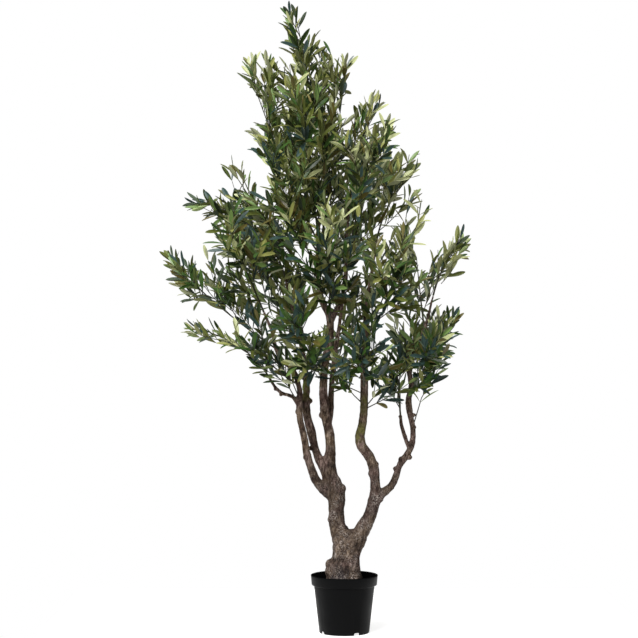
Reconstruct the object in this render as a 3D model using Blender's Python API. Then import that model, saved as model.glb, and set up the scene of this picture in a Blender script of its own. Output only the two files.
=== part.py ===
"""An artificial olive tree, 2.48 m tall, standing in a black nursery pot filled with mortar.

Run with: blender --background --python part.py

Units are metres. +Z is up, the front of the tree faces -Y and +X is to the right. The origin
is the middle of the pot's underside. The tree is one moulded trunk, nine tapering boughs and
a crown of leafy masses. Each mass is one stem with side twigs and large leaves, and each leaf
stands for a tuft of the small leaves of the real tree.
"""

import math
import random

import bmesh
import bpy
import numpy as np
from mathutils import Matrix, Vector

# Driving dimensions of the pot.
POT_HEIGHT = 0.2275
POT_RIM_RADIUS = 0.1326
POT_BAND_HEIGHT = 0.0435
POT_BAND_RADIUS = 0.129
POT_SHOULDER_RADIUS = 0.120
POT_FOOT_RADIUS = 0.0988
POT_WALL = 0.003
POT_FLOOR = 0.004
POT_SIDES = 32
NOTCH_COUNT = 4
NOTCH_WIDTH = 0.026
NOTCH_HEIGHT = 0.011
NOTCH_DEPTH = 0.016
FIRST_NOTCH_ANGLE = math.radians(-61)

# Fits between neighbouring pieces.
GAP = 0.0003
FILL_LEVEL = POT_HEIGHT - 0.0355
FILL_SLACK = 0.0006

# How limbs are meshed.
TRUNK_SIDES = 14
BOUGH_SIDES = 7
RING_SPACING = 0.062

# Each limb: the limb that carries it, then its route as (x, y, z, radius) from root to tip.
LIMBS = {
    "trunk": (
        None,
        [
            (0.000, 0.000, FILL_LEVEL + GAP, 0.070),
            (0.000, 0.000, 0.235, 0.064),
            (0.002, 0.000, 0.270, 0.058),
            (0.006, 0.000, 0.305, 0.055),
            (0.015, 0.000, 0.345, 0.060),
            (0.024, 0.000, 0.378, 0.066),
            (0.026, 0.000, 0.398, 0.058),
            (0.026, 0.000, 0.408, 0.038),
        ],
    ),
    "centre_bough": (
        "trunk",
        [
            (0.000, 0.000, 0.340, 0.038),
            (-0.026, 0.000, 0.415, 0.034),
            (-0.032, 0.000, 0.480, 0.032),
            (-0.032, 0.000, 0.545, 0.036),
            (-0.056, 0.004, 0.610, 0.032),
            (-0.062, 0.008, 0.660, 0.028),
            (-0.055, 0.010, 0.720, 0.0215),
            (-0.060, 0.006, 0.790, 0.018),
            (-0.074, 0.000, 0.855, 0.020),
            (-0.080, -0.010, 0.905, 0.017),
            (-0.083, -0.020, 0.985, 0.016),
            (-0.075, -0.018, 1.070, 0.0155),
            (-0.057, -0.008, 1.180, 0.015),
            (-0.060, 0.000, 1.250, 0.0135),
            (-0.092, 0.000, 1.320, 0.012),
            (-0.104, -0.010, 1.450, 0.010),
            (-0.101, -0.005, 1.640, 0.0075),
        ],
    ),
    "outer_left_bough": (
        "centre_bough",
        [
            (-0.036, -0.002, 0.530, 0.026),
            (-0.086, -0.008, 0.568, 0.021),
            (-0.110, -0.014, 0.600, 0.018),
            (-0.131, -0.020, 0.650, 0.0165),
            (-0.147, -0.026, 0.705, 0.015),
            (-0.159, -0.030, 0.775, 0.0138),
            (-0.177, -0.032, 0.846, 0.0125),
            (-0.181, -0.034, 0.905, 0.0122),
            (-0.175, -0.036, 0.950, 0.0115),
            (-0.200, -0.040, 1.035, 0.010),
            (-0.245, -0.048, 1.075, 0.009),
            (-0.272, -0.058, 1.130, 0.008),
            (-0.285, -0.068, 1.190, 0.0068),
            (-0.316, -0.078, 1.265, 0.005),
        ],
    ),
    "inner_left_bough": (
        "centre_bough",
        [
            (-0.062, 0.006, 0.615, 0.024),
            (-0.090, 0.014, 0.665, 0.0195),
            (-0.112, 0.022, 0.722, 0.0158),
            (-0.134, 0.028, 0.790, 0.0138),
            (-0.151, 0.034, 0.850, 0.0135),
            (-0.151, 0.038, 0.910, 0.0132),
            (-0.147, 0.044, 0.975, 0.012),
            (-0.160, 0.052, 1.070, 0.0105),
            (-0.176, 0.060, 1.160, 0.0088),
            (-0.200, 0.070, 1.260, 0.007),
            (-0.234, 0.080, 1.400, 0.005),
        ],
    ),
    "back_bough": (
        "centre_bough",
        [
            (-0.066, 0.006, 0.815, 0.016),
            (-0.054, 0.030, 0.870, 0.0128),
            (-0.052, 0.040, 0.945, 0.0125),
            (-0.046, 0.048, 1.010, 0.0118),
            (-0.034, 0.070, 1.110, 0.010),
            (-0.016, 0.118, 1.230, 0.0078),
            (0.000, 0.170, 1.350, 0.005),
        ],
    ),
    "upper_right_bough": (
        "centre_bough",
        [
            (-0.060, -0.002, 1.215, 0.012),
            (-0.030, 0.004, 1.275, 0.0108),
            (-0.004, 0.008, 1.340, 0.0098),
            (0.007, 0.010, 1.430, 0.0088),
            (0.008, 0.012, 1.560, 0.0076),
            (0.022, 0.014, 1.700, 0.0062),
            (0.034, 0.014, 1.810, 0.005),
        ],
    ),
    "right_bough": (
        "trunk",
        [
            (0.036, 0.000, 0.345, 0.036),
            (0.073, 0.000, 0.410, 0.031),
            (0.095, 0.000, 0.450, 0.0265),
            (0.112, -0.002, 0.495, 0.0255),
            (0.122, -0.004, 0.545, 0.0235),
            (0.121, -0.006, 0.600, 0.020),
            (0.113, -0.010, 0.655, 0.0208),
            (0.096, -0.014, 0.698, 0.020),
            (0.069, -0.020, 0.735, 0.0195),
            (0.061, -0.024, 0.775, 0.0205),
            (0.071, -0.026, 0.825, 0.0172),
            (0.077, -0.028, 0.890, 0.016),
            (0.078, -0.030, 0.990, 0.0148),
            (0.082, -0.034, 1.150, 0.0122),
            (0.090, -0.040, 1.300, 0.0095),
            (0.110, -0.040, 1.440, 0.007),
            (0.128, -0.040, 1.550, 0.005),
        ],
    ),
    "right_outer_bough": (
        "right_bough",
        [
            (0.124, -0.002, 0.528, 0.022),
            (0.154, 0.004, 0.553, 0.0172),
            (0.184, 0.008, 0.575, 0.016),
            (0.203, 0.010, 0.612, 0.0142),
            (0.219, 0.012, 0.660, 0.013),
            (0.249, 0.014, 0.700, 0.013),
            (0.270, 0.014, 0.750, 0.0115),
            (0.271, 0.014, 0.808, 0.0112),
            (0.258, 0.012, 0.870, 0.0125),
            (0.256, 0.010, 0.925, 0.0122),
            (0.266, 0.008, 0.975, 0.0112),
            (0.252, 0.006, 1.050, 0.0098),
            (0.264, 0.006, 1.100, 0.0088),
            (0.302, 0.010, 1.155, 0.0078),
            (0.330, 0.016, 1.240, 0.0065),
            (0.352, 0.020, 1.330, 0.005),
        ],
    ),
    "left_spur": (
        "outer_left_bough",
        [
            (-0.180, -0.034, 0.900, 0.010),
            (-0.203, -0.038, 0.932, 0.0082),
            (-0.246, -0.042, 0.946, 0.0074),
            (-0.275, -0.044, 0.973, 0.0068),
            (-0.298, -0.046, 1.012, 0.005),
        ],
    ),
    "right_spur": (
        "right_outer_bough",
        [
            (0.264, 0.013, 0.714, 0.010),
            (0.247, 0.010, 0.751, 0.008),
            (0.233, 0.008, 0.792, 0.0086),
            (0.225, 0.006, 0.826, 0.008),
            (0.222, 0.004, 0.858, 0.0062),
        ],
    ),
}

# Knots and burls: limb, place, how far the bark stands out there and how wide the swelling is.
BURLS = [
    ("trunk", (-0.062, -0.020, 0.268), 0.022, 0.026),
    ("trunk", (0.050, -0.045, 0.225), 0.006, 0.030),
    ("centre_bough", (0.000, 0.000, 0.560), 0.012, 0.016),
    ("centre_bough", (-0.064, 0.000, 0.470), 0.005, 0.022),
    ("centre_bough", (-0.094, 0.000, 0.853), 0.005, 0.018),
]

# Each leafy mass: the limb that carries it, the height at which its stem leaves that limb
# (None at the limb's tip), the place of its furthest leaf tip and its half width.
MASSES = {
    "top_leaves": ("centre_bough", None, (-0.205, 0.000, 2.488), 0.180),
    "upper_left_leaves": ("centre_bough", 1.54, (-0.400, -0.040, 2.290), 0.180),
    "upper_right_leaves": ("centre_bough", 1.48, (0.055, 0.030, 2.300), 0.185),
    "upper_front_leaves": ("centre_bough", 1.56, (-0.160, -0.270, 2.130), 0.160),
    "upper_back_leaves": ("centre_bough", 1.60, (-0.190, 0.290, 2.080), 0.160),
    "left_shoulder_leaves": ("centre_bough", 1.36, (-0.470, -0.060, 1.870), 0.160),
    "left_high_front_leaves": ("centre_bough", 1.42, (-0.290, -0.330, 1.880), 0.170),
    "left_high_back_leaves": ("centre_bough", 1.50, (-0.330, 0.320, 1.930), 0.170),
    "right_crest_leaves": ("upper_right_bough", None, (0.172, 0.000, 2.122), 0.150),
    "right_front_high_leaves": ("upper_right_bough", 1.48, (0.110, -0.340, 1.960), 0.170),
    "right_back_high_leaves": ("upper_right_bough", 1.44, (0.140, 0.340, 1.960), 0.170),
    "right_shoulder_leaves": ("right_bough", None, (0.325, 0.020, 1.866), 0.150),
    "right_middle_leaves": ("right_bough", 1.36, (0.330, -0.230, 1.680), 0.160),
    "right_front_leaves": ("right_bough", 1.14, (0.190, -0.410, 1.480), 0.170),
    "low_front_leaves": ("right_bough", 0.97, (0.060, -0.360, 1.130), 0.150),
    "centre_front_leaves": ("centre_bough", 1.22, (-0.060, -0.430, 1.560), 0.170),
    "low_left_front_leaves": ("centre_bough", 0.99, (-0.190, -0.370, 1.270), 0.150),
    "right_outer_top_leaves": ("right_outer_bough", None, (0.500, 0.020, 1.610), 0.150),
    "right_outer_low_leaves": ("right_outer_bough", 1.03, (0.475, -0.030, 1.260), 0.150),
    "right_low_front_leaves": ("right_outer_bough", 0.95, (0.340, -0.280, 1.130), 0.150),
    "right_low_back_leaves": ("right_outer_bough", 1.00, (0.300, 0.300, 1.200), 0.150),
    "right_back_leaves": ("right_outer_bough", 1.20, (0.300, 0.370, 1.540), 0.170),
    "right_spur_leaves": ("right_spur", None, (0.160, -0.150, 1.130), 0.140),
    "back_centre_leaves": ("back_bough", None, (-0.020, 0.440, 1.680), 0.170),
    "back_low_leaves": ("back_bough", 0.99, (0.050, 0.360, 1.360), 0.160),
    "left_back_leaves": ("inner_left_bough", 1.16, (-0.400, 0.370, 1.560), 0.170),
    "left_low_back_leaves": ("inner_left_bough", 0.99, (-0.180, 0.320, 1.360), 0.150),
    "left_upper_leaves": ("inner_left_bough", None, (-0.625, 0.060, 1.740), 0.170),
    "left_outer_leaves": ("outer_left_bough", 1.12, (-0.712, -0.080, 1.490), 0.160),
    "left_front_leaves": ("outer_left_bough", None, (-0.450, -0.350, 1.600), 0.170),
    "left_bottom_leaves": ("outer_left_bough", 0.98, (-0.400, -0.250, 1.170), 0.150),
    "left_low_shoot": ("left_spur", None, (-0.640, -0.060, 1.215), 0.110),
}

# The crown's outline as height, left edge and right edge, at the depth of the trunk, and the
# place in front of the tree from which it is seen.
CROWN_OUTLINE = [
    (0.890, -0.20, 0.32),
    (0.930, -0.25, 0.34),
    (0.980, -0.29, 0.34),
    (1.030, -0.33, 0.38),
    (1.090, -0.42, 0.43),
    (1.120, -0.53, 0.44),
    (1.160, -0.61, 0.43),
    (1.200, -0.65, 0.47),
    (1.250, -0.62, 0.46),
    (1.280, -0.61, 0.46),
    (1.340, -0.67, 0.42),
    (1.390, -0.69, 0.44),
    (1.420, -0.69, 0.48),
    (1.500, -0.73, 0.51),
    (1.540, -0.69, 0.50),
    (1.580, -0.60, 0.49),
    (1.620, -0.62, 0.48),
    (1.650, -0.64, 0.40),
    (1.700, -0.65, 0.33),
    (1.750, -0.61, 0.29),
    (1.800, -0.50, 0.31),
    (1.870, -0.47, 0.32),
    (1.910, -0.39, 0.28),
    (1.990, -0.39, 0.25),
    (2.040, -0.36, 0.22),
    (2.080, -0.33, 0.18),
    (2.150, -0.38, 0.15),
    (2.180, -0.41, 0.03),
    (2.240, -0.43, 0.05),
    (2.300, -0.38, 0.04),
    (2.330, -0.32, -0.07),
    (2.360, -0.23, -0.08),
    (2.400, -0.24, -0.12),
    (2.440, -0.25, -0.15),
    (2.495, -0.24, -0.17),
]
VIEW_POINT = (-0.100, -7.500, 1.2375)
OUTLINE_SLACK = 0.012
LOW_CORNER = (-0.730, -0.475, 0.880)
HIGH_CORNER = (0.545, 0.500, 2.495)

# The rule by which every mass grows. A stem bows by these shares of its span.
STEM_BOW = (0.50, 0.50, 0.40)
LEAF_LENGTH = 0.160
LEAF_WIDTH = 0.061
LEAF_THICKNESS = 0.0034
LEAF_ROOT_SUNK = 0.001
FIRST_LEAF = 0.30
PAIR_SPACING = 0.072
TWIG_SPACING = 0.083
TWIG_TRIES = 4
LEAF_SPACING = 0.050
FULL_WIDTH = 0.14
STEM_RADIUS = 0.0062
STEM_SUNK = 0.003
TWIG_RADIUS = 0.0022
STEM_STEPS = 4
FIRST_TWIG = 0.16
LAST_TWIG = 0.90
GOLDEN_ANGLE = math.radians(137.5)
TWIG_ANGLE = math.radians(42)
LEAF_ANGLE = math.radians(38)
CROWN_MIDDLE = -0.10
OUTWARD_PULL = 0.6
UPWARD_PULL = 0.25
SPACE_MARGIN = 0.005
LIMB_CLEARANCE = 0.008
AXIS_STEPS = 10
SMALLEST_TWIG = 0.03
FEWEST_TWIGS = 5

BARK = ("bark", (0.170, 0.130, 0.105), 0.85)
BLACK_PLASTIC = ("black_plastic", (0.012, 0.012, 0.013), 0.45)
MORTAR = ("mortar", (0.020, 0.018, 0.017), 0.95)
LEAF_GREEN = ("leaf_green", (0.060, 0.105, 0.045), 0.55)


def clear_scene():
    for obj in list(bpy.data.objects):
        bpy.data.objects.remove(obj)


def material(name, colour, roughness):
    made = bpy.data.materials.get(name)
    if made:
        return made
    made = bpy.data.materials.new(name)
    made.use_nodes = True
    shader = made.node_tree.nodes["Principled BSDF"]
    shader.inputs["Base Color"].default_value = (*colour, 1)
    shader.inputs["Roughness"].default_value = roughness
    shader.inputs["Metallic"].default_value = 0
    return made


def object_from(bm, name, look=None, smooth=False):
    """A new object from a bmesh, which is freed."""
    bmesh.ops.recalc_face_normals(bm, faces=bm.faces)
    mesh = bpy.data.meshes.new(name)
    bm.to_mesh(mesh)
    bm.free()
    if smooth:
        mesh.shade_smooth()
        mesh.set_sharp_from_angle(angle=math.radians(50))
    obj = bpy.data.objects.new(name, mesh)
    bpy.context.scene.collection.objects.link(obj)
    if look:
        mesh.materials.append(material(*look))
    return obj


def replace_mesh_by_evaluated(obj):
    """Applies the object's modifiers and keeps only its largest body."""
    graph = bpy.context.evaluated_depsgraph_get()
    made = bpy.data.meshes.new_from_object(obj.evaluated_get(graph))
    obj.modifiers.clear()
    bm = bmesh.new()
    bm.from_mesh(made)
    bmesh.ops.remove_doubles(bm, verts=bm.verts, dist=1e-6)
    drop_scraps(bm)
    bm.to_mesh(obj.data)
    bm.free()
    bpy.data.meshes.remove(made)


def drop_scraps(bm):
    """Deletes every part of the mesh that no edge joins to its largest part."""
    unseen = set(bm.faces)
    bodies = []
    while unseen:
        body, front = set(), [unseen.pop()]
        while front:
            face = front.pop()
            body.add(face)
            for edge in face.edges:
                for other in edge.link_faces:
                    if other in unseen:
                        unseen.discard(other)
                        front.append(other)
        bodies.append(body)
    bodies.sort(key=len)
    scraps = [face for body in bodies[:-1] for face in body]
    bmesh.ops.delete(bm, geom=scraps, context="FACES")


def cut_by(obj, cutter, solver="MANIFOLD"):
    cut = obj.modifiers.new("cut", "BOOLEAN")
    cut.operation = "DIFFERENCE"
    cut.solver = solver
    cut.object = cutter
    replace_mesh_by_evaluated(obj)


def lathe(name, profile, sides, look):
    """A closed turned solid: the profile (radius, height) runs from axis to axis."""
    bm = bmesh.new()
    verts = [bm.verts.new((radius, 0, height)) for radius, height in profile]
    edges = [bm.edges.new(pair) for pair in zip(verts, verts[1:])]
    bmesh.ops.spin(
        bm,
        geom=verts + edges,
        cent=(0, 0, 0),
        axis=(0, 0, 1),
        angle=2 * math.pi,
        steps=sides,
        use_merge=True,
    )
    bmesh.ops.remove_doubles(bm, verts=bm.verts, dist=1e-5)
    return object_from(bm, name, look, smooth=True)


def pot_radius_inside(height):
    """Inner radius of the pot's tapering body below the band."""
    share = height / (POT_HEIGHT - POT_BAND_HEIGHT)
    outside = POT_FOOT_RADIUS + (POT_SHOULDER_RADIUS - POT_FOOT_RADIUS) * share
    return outside - POT_WALL


def make_pot():
    shoulder = POT_HEIGHT - POT_BAND_HEIGHT
    floor = POT_FLOOR + NOTCH_HEIGHT
    lip = 0.004
    profile = [
        (0, 0),
        (POT_FOOT_RADIUS - 0.003, 0),
        (POT_FOOT_RADIUS, 0.003),
        (POT_SHOULDER_RADIUS, shoulder - 0.002),
        (POT_BAND_RADIUS, shoulder + 0.004),
        (POT_RIM_RADIUS, POT_HEIGHT - lip),
        (POT_RIM_RADIUS - 0.002, POT_HEIGHT),
        (POT_RIM_RADIUS - POT_WALL - 0.001, POT_HEIGHT - 0.001),
        (POT_BAND_RADIUS - POT_WALL, shoulder + 0.006),
        (POT_SHOULDER_RADIUS - POT_WALL, shoulder),
        (pot_radius_inside(floor), floor),
        (0, floor),
    ]
    pot = lathe("pot", profile, POT_SIDES, BLACK_PLASTIC)
    for number in range(NOTCH_COUNT):
        angle = FIRST_NOTCH_ANGLE + number * 2 * math.pi / NOTCH_COUNT
        cutter = notch_cutter(angle)
        cut_by(pot, cutter)
        bpy.data.objects.remove(cutter)
    return pot


def notch_cutter(angle):
    """A wedge that cuts one drain notch into the foot's edge."""
    bm = bmesh.new()
    bmesh.ops.create_cube(bm, size=1)
    size = Vector((2 * NOTCH_DEPTH, NOTCH_WIDTH, 2 * NOTCH_HEIGHT))
    bmesh.ops.scale(bm, vec=size, verts=bm.verts)
    for vert in bm.verts:
        if vert.co.z > 0:
            vert.co.y *= 0.75
    bmesh.ops.translate(bm, vec=(POT_FOOT_RADIUS, 0, 0), verts=bm.verts)
    turn = Matrix.Rotation(angle, 3, "Z")
    bmesh.ops.rotate(bm, cent=(0, 0, 0), matrix=turn, verts=bm.verts)
    return object_from(bm, "notch_cutter")


def make_fill():
    """The mortar that the trunk is set in. Its top is flat where the trunk stands."""
    low = POT_FLOOR + NOTCH_HEIGHT + GAP
    shoulder = POT_HEIGHT - POT_BAND_HEIGHT
    band_inside = POT_BAND_RADIUS - POT_WALL
    profile = [
        (0, low),
        (pot_radius_inside(low) - FILL_SLACK, low),
        (pot_radius_inside(shoulder) - FILL_SLACK, shoulder),
        (band_inside - FILL_SLACK, FILL_LEVEL),
        (0, FILL_LEVEL),
    ]
    return lathe("mortar_fill", profile, POT_SIDES, MORTAR)


def smooth_route(route, spacing):
    """Points read from a Catmull-Rom curve through the route's own points."""
    points = [np.array(p) for p in route]
    points = [2 * points[0] - points[1], *points, 2 * points[-1] - points[-2]]
    found = []
    for a, b, c, d in zip(points, points[1:], points[2:], points[3:]):
        steps = max(1, round(float(np.linalg.norm((c - b)[:3])) / spacing))
        for step in range(steps):
            t = step / steps
            found.append(
                0.5 * (2 * b + (c - a) * t + (2 * a - 5 * b + 4 * c - d) * t**2
                       + (3 * b - 3 * c + d - a) * t**3)
            )
    found.append(points[-2])
    return [(Vector(p[:3]), float(p[3])) for p in found]


def frames_along(points):
    """A turn for each point, whose Z runs along the line and which never twists about it."""
    ways = [(b - a).normalized() for a, b in zip(points, points[1:])]
    tangents = [ways[0], *[(a + b).normalized() for a, b in zip(ways, ways[1:])], ways[-1]]
    side = tangents[0].orthogonal().normalized()
    turns = []
    for tangent in tangents:
        side = (side - side.dot(tangent) * tangent).normalized()
        turns.append(Matrix((side, tangent.cross(side), tangent)).transposed())
    return turns


def add_tube(bm, points, radii, sides):
    """A capped tube through the points, as rings of vertices joined by quads."""
    to_corner = 2 / (1 + math.cos(math.pi / sides))
    rings = []
    for point, turn, radius in zip(points, frames_along(points), radii):
        ring = []
        for corner in range(sides):
            angle = 2 * math.pi * corner / sides
            spot = Vector((math.cos(angle), math.sin(angle), 0)) * radius * to_corner
            ring.append(bm.verts.new(point + turn @ spot))
        rings.append(ring)
    for low, high in zip(rings, rings[1:]):
        for corner in range(sides):
            beside = (corner + 1) % sides
            bm.faces.new((low[corner], low[beside], high[beside], high[corner]))
    bm.faces.new(reversed(rings[0]))
    bm.faces.new(rings[-1])


def swell(bm, limb, grow):
    """Pushes the bark out at the limb's burls, and everywhere by grow."""
    bm.normal_update()
    moves = {}
    for vert in bm.verts:
        out = grow * vert.calc_shell_factor()
        for owner, place, height, width in BURLS:
            if owner == limb:
                away = (vert.co - Vector(place)).length
                out += height * math.exp(-((away / width) ** 2))
        moves[vert] = vert.normal * out
    for vert, move in moves.items():
        vert.co += move


def level_foot(bm):
    """Flattens the trunk's lowest ring to the level cut on which it stands."""
    foot = FILL_LEVEL + GAP
    lowest = [v for v in bm.verts if v.co.z < foot + 0.004]
    for vert in lowest:
        vert.co.z = foot


def limb_mesh(name, grow=0.0):
    _, route = LIMBS[name]
    path = smooth_route(route, RING_SPACING if name != "trunk" else RING_SPACING / 2)
    bm = bmesh.new()
    sides = TRUNK_SIDES if name == "trunk" else BOUGH_SIDES
    add_tube(bm, [p for p, _ in path], [r for _, r in path], sides)
    swell(bm, name, grow)
    if name == "trunk":
        level_foot(bm)
    return bm


def make_limbs():
    """Every limb, cut clear of the limbs made before it."""
    made = {}
    for name in LIMBS:
        limb = object_from(limb_mesh(name), name, BARK, smooth=True)
        for other in made:
            if boxes_meet(limb, made[other]):
                cutter = object_from(limb_mesh(other, GAP), "cutter")
                cut_by(limb, cutter)
                bpy.data.objects.remove(cutter)
        made[name] = limb
    return made


def boxes_meet(a, b):
    low_a, high_a = corners(a)
    low_b, high_b = corners(b)
    return bool(((low_a <= high_b + GAP) & (low_b <= high_a + GAP)).all())


def corners(obj):
    places = np.array([v.co[:] for v in obj.data.vertices])
    return places.min(axis=0), places.max(axis=0)


def limb_path(name):
    """The limb's centre line and radii as arrays."""
    path = smooth_route(LIMBS[name][1], RING_SPACING)
    return np.array([p[:] for p, _ in path]), np.array([r for _, r in path])


def start_on_limb(limb, height):
    """Where a stem starts, and its first direction: at the limb's tip or on its side."""
    points, _ = limb_path(limb)
    if height is None:
        way = Vector(points[-1] - points[-2]).normalized()
        return Vector(points[-1]) - way * STEM_SUNK, way
    above = int(np.argmax(points[:, 2] > height))
    low, high = points[above - 1], points[above]
    share = (height - low[2]) / (high[2] - low[2])
    return Vector(low + (high - low) * share), None


def stem_axis(limb, height, tip):
    """A mass's centre line: it leaves its limb outwards and bends up towards its tip."""
    start, way = start_on_limb(limb, height)
    end = Vector(tip)
    span = end - start
    if way is None:
        middle = start + span * Vector(STEM_BOW)
    else:
        middle = start + way * span.length * 0.45
    points = []
    for step in range(AXIS_STEPS + 1):
        t = step / AXIS_STEPS
        points.append(start * (1 - t) ** 2 + middle * 2 * t * (1 - t) + end * t**2)
    return points


def distance_to_line(places, line):
    """Shortest distance from each of the places to a line through points."""
    places = np.asarray(places)[:, None, :]
    line = np.asarray(line)
    a, b = line[:-1], line[1:]
    along = b - a
    share = ((places - a) * along).sum(-1) / (along * along).sum(-1)
    nearest = a + np.clip(share, 0, 1)[..., None] * along
    return np.linalg.norm(places - nearest, axis=-1).min(axis=1)


def inside_outline(places):
    """Whether places lie in the crown's box and inside its outline as seen from the front."""
    places = np.asarray(places, dtype=float)
    if (places < LOW_CORNER).any() or (places > HIGH_CORNER).any():
        return False
    nearness = VIEW_POINT[1] / (VIEW_POINT[1] - places[:, 1])
    across = VIEW_POINT[0] + (places[:, 0] - VIEW_POINT[0]) * nearness
    up = VIEW_POINT[2] + (places[:, 2] - VIEW_POINT[2]) * nearness
    heights, lefts, rights = np.array(CROWN_OUTLINE).T
    left = np.interp(up, heights, lefts) - OUTLINE_SLACK
    right = np.interp(up, heights, rights) + OUTLINE_SLACK
    return bool(((across > left) & (across < right)).all())


class Space:
    """Tells whether places lie in one mass's own space and clear of every limb."""

    def __init__(self, axes, limb_lines):
        self.axes = {name: np.array([p[:] for p in line]) for name, line in axes.items()}
        self.limb_lines = limb_lines
        self.leaf_centres = []

    def holds(self, name, places):
        if not inside_outline(places):
            return False
        width = MASSES[name][3]
        own = distance_to_line(places, self.axes[name])
        if (own > width).any():
            return False
        for other, line in self.axes.items():
            if other != name:
                share = width / MASSES[other][3]
                if (own + SPACE_MARGIN > distance_to_line(places, line) * share).any():
                    return False
        return self.clear_of_limbs(places)

    def crowded(self, centre):
        return any((centre - other).length < LEAF_SPACING for other in self.leaf_centres)

    def clear_of_limbs(self, places):
        for points, radii in self.limb_lines:
            if (distance_to_line(places, points) < radii.max() + LIMB_CLEARANCE).any():
                near = distance_to_line(places, points)
                slim = np.array([radius_near(p, points, radii) for p in places])
                if (near < slim + LIMB_CLEARANCE).any():
                    return False
        return True


def radius_near(place, points, radii):
    return radii[np.linalg.norm(points - place, axis=1).argmin()] * 1.1


def along_line(points, share):
    """The place and direction at a share of a line's length."""
    spot = share * (len(points) - 1)
    step = min(int(spot), len(points) - 2)
    way = points[step + 1] - points[step]
    return points[step] + way * (spot - step), way.normalized()


def outwards(place, way):
    """A direction bent a little up and away from the crown's middle."""
    away = Vector((place.x - CROWN_MIDDLE, place.y, 0))
    return (way + away * OUTWARD_PULL + Vector((0, 0, UPWARD_PULL))).normalized()


def spindle(share):
    """How wide a mass is at a share of its stem: slim at the root, widest past the middle."""
    return math.sin(math.pi * min(1, 0.12 + 0.80 * share)) ** 0.7


def leaf_corners(root, way, flat, length):
    """Tip, middle and edges of a leaf, to test its place."""
    side = way.cross(flat).normalized() * LEAF_WIDTH / 2
    middle = root + way * length / 2
    return [root + way * length, middle + side, middle - side, root + way * length * 0.8]


def longest_leaf(name):
    return LEAF_LENGTH * min(1, MASSES[name][3] / FULL_WIDTH)


def leaf_fits(space, name, root, way, flat):
    """The greatest length at which a leaf stays in its mass's space, or None."""
    longest = longest_leaf(name)
    if space.crowded(root + way * longest / 2):
        return None
    for length in (longest, longest * 0.82, longest * 0.66):
        if space.holds(name, [tuple(p) for p in leaf_corners(root, way, flat, length)]):
            return length
    return None


def add_leaf(parts, root, way, flat, length):
    """One leaf: eight faces, its root sunk in the twig and its blade square to flat."""
    side = way.cross(flat).normalized()
    flat = side.cross(way).normalized()
    turn = Matrix((side, flat, way)).transposed().to_4x4()
    size = Matrix.Diagonal((LEAF_WIDTH, LEAF_THICKNESS, length + LEAF_ROOT_SUNK, 1))
    centre = root + way * (length - LEAF_ROOT_SUNK) / 2
    bm = bmesh.new()
    bmesh.ops.create_uvsphere(
        bm, u_segments=4, v_segments=2, radius=0.5,
        matrix=Matrix.Translation(centre) @ turn @ size,
    )
    parts.append(object_from(bm, "leaf"))


def add_shoot(parts, points, radii, flat, leaf_length, name="twig"):
    """A three-sided twig through the points that ends in a leaf, in one piece."""
    bm = bmesh.new()
    ways = [(b - a).normalized() for a, b in zip(points, points[1:])]
    ways.append(ways[-1])
    rings = []
    for point, way, radius in zip(points, ways, radii):
        side = way.cross(flat).normalized()
        top = side.cross(way)
        spots = (top, -top * 0.5 + side * 0.87, -top * 0.5 - side * 0.87)
        rings.append([bm.verts.new(point + spot * radius) for spot in spots])
    middle = points[-1] + way * leaf_length * 0.45
    spots = (top * LEAF_THICKNESS, side * LEAF_WIDTH / 2, -side * LEAF_WIDTH / 2)
    rings.append([bm.verts.new(middle + spot) for spot in spots])
    tip = bm.verts.new(points[-1] + way * leaf_length)
    for low, high in zip(rings, rings[1:]):
        for corner in range(3):
            beside = (corner + 1) % 3
            bm.faces.new((low[corner], low[beside], high[beside], high[corner]))
    for corner in range(3):
        bm.faces.new((rings[-1][corner], rings[-1][(corner + 1) % 3], tip))
    bm.faces.new(rings[0])
    parts.append(object_from(bm, name))
    return parts[-1]


def twig_end(space, name, start, way, flat, length):
    """Where a twig ends so that it and its last leaf stay in the mass's space, or None."""
    while length > SMALLEST_TWIG:
        end = start + way * length
        inside = space.holds(name, [tuple(start.lerp(end, s)) for s in (0.5, 1.0)])
        if inside and leaf_fits(space, name, end, way, flat):
            return end
        length *= 0.8
    return None


def add_side_leaves(parts, space, name, start, end, flat):
    """Leaves on the two sides of a twig in turn, all the way up it."""
    way = (end - start).normalized()
    side = way.cross(flat).normalized()
    count = max(2, round((end - start).length / PAIR_SPACING * 2))
    for number in range(count):
        root = start.lerp(end, FIRST_LEAF + (0.94 - FIRST_LEAF) * number / (count - 1))
        lean = LEAF_ANGLE if number % 2 else -LEAF_ANGLE
        leaf_way = way * math.cos(lean) + side * math.sin(lean)
        length = leaf_fits(space, name, root, leaf_way, flat)
        if length:
            add_leaf(parts, root, leaf_way, flat, length)
            space.leaf_centres.append(root + leaf_way * length / 2)


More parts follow.
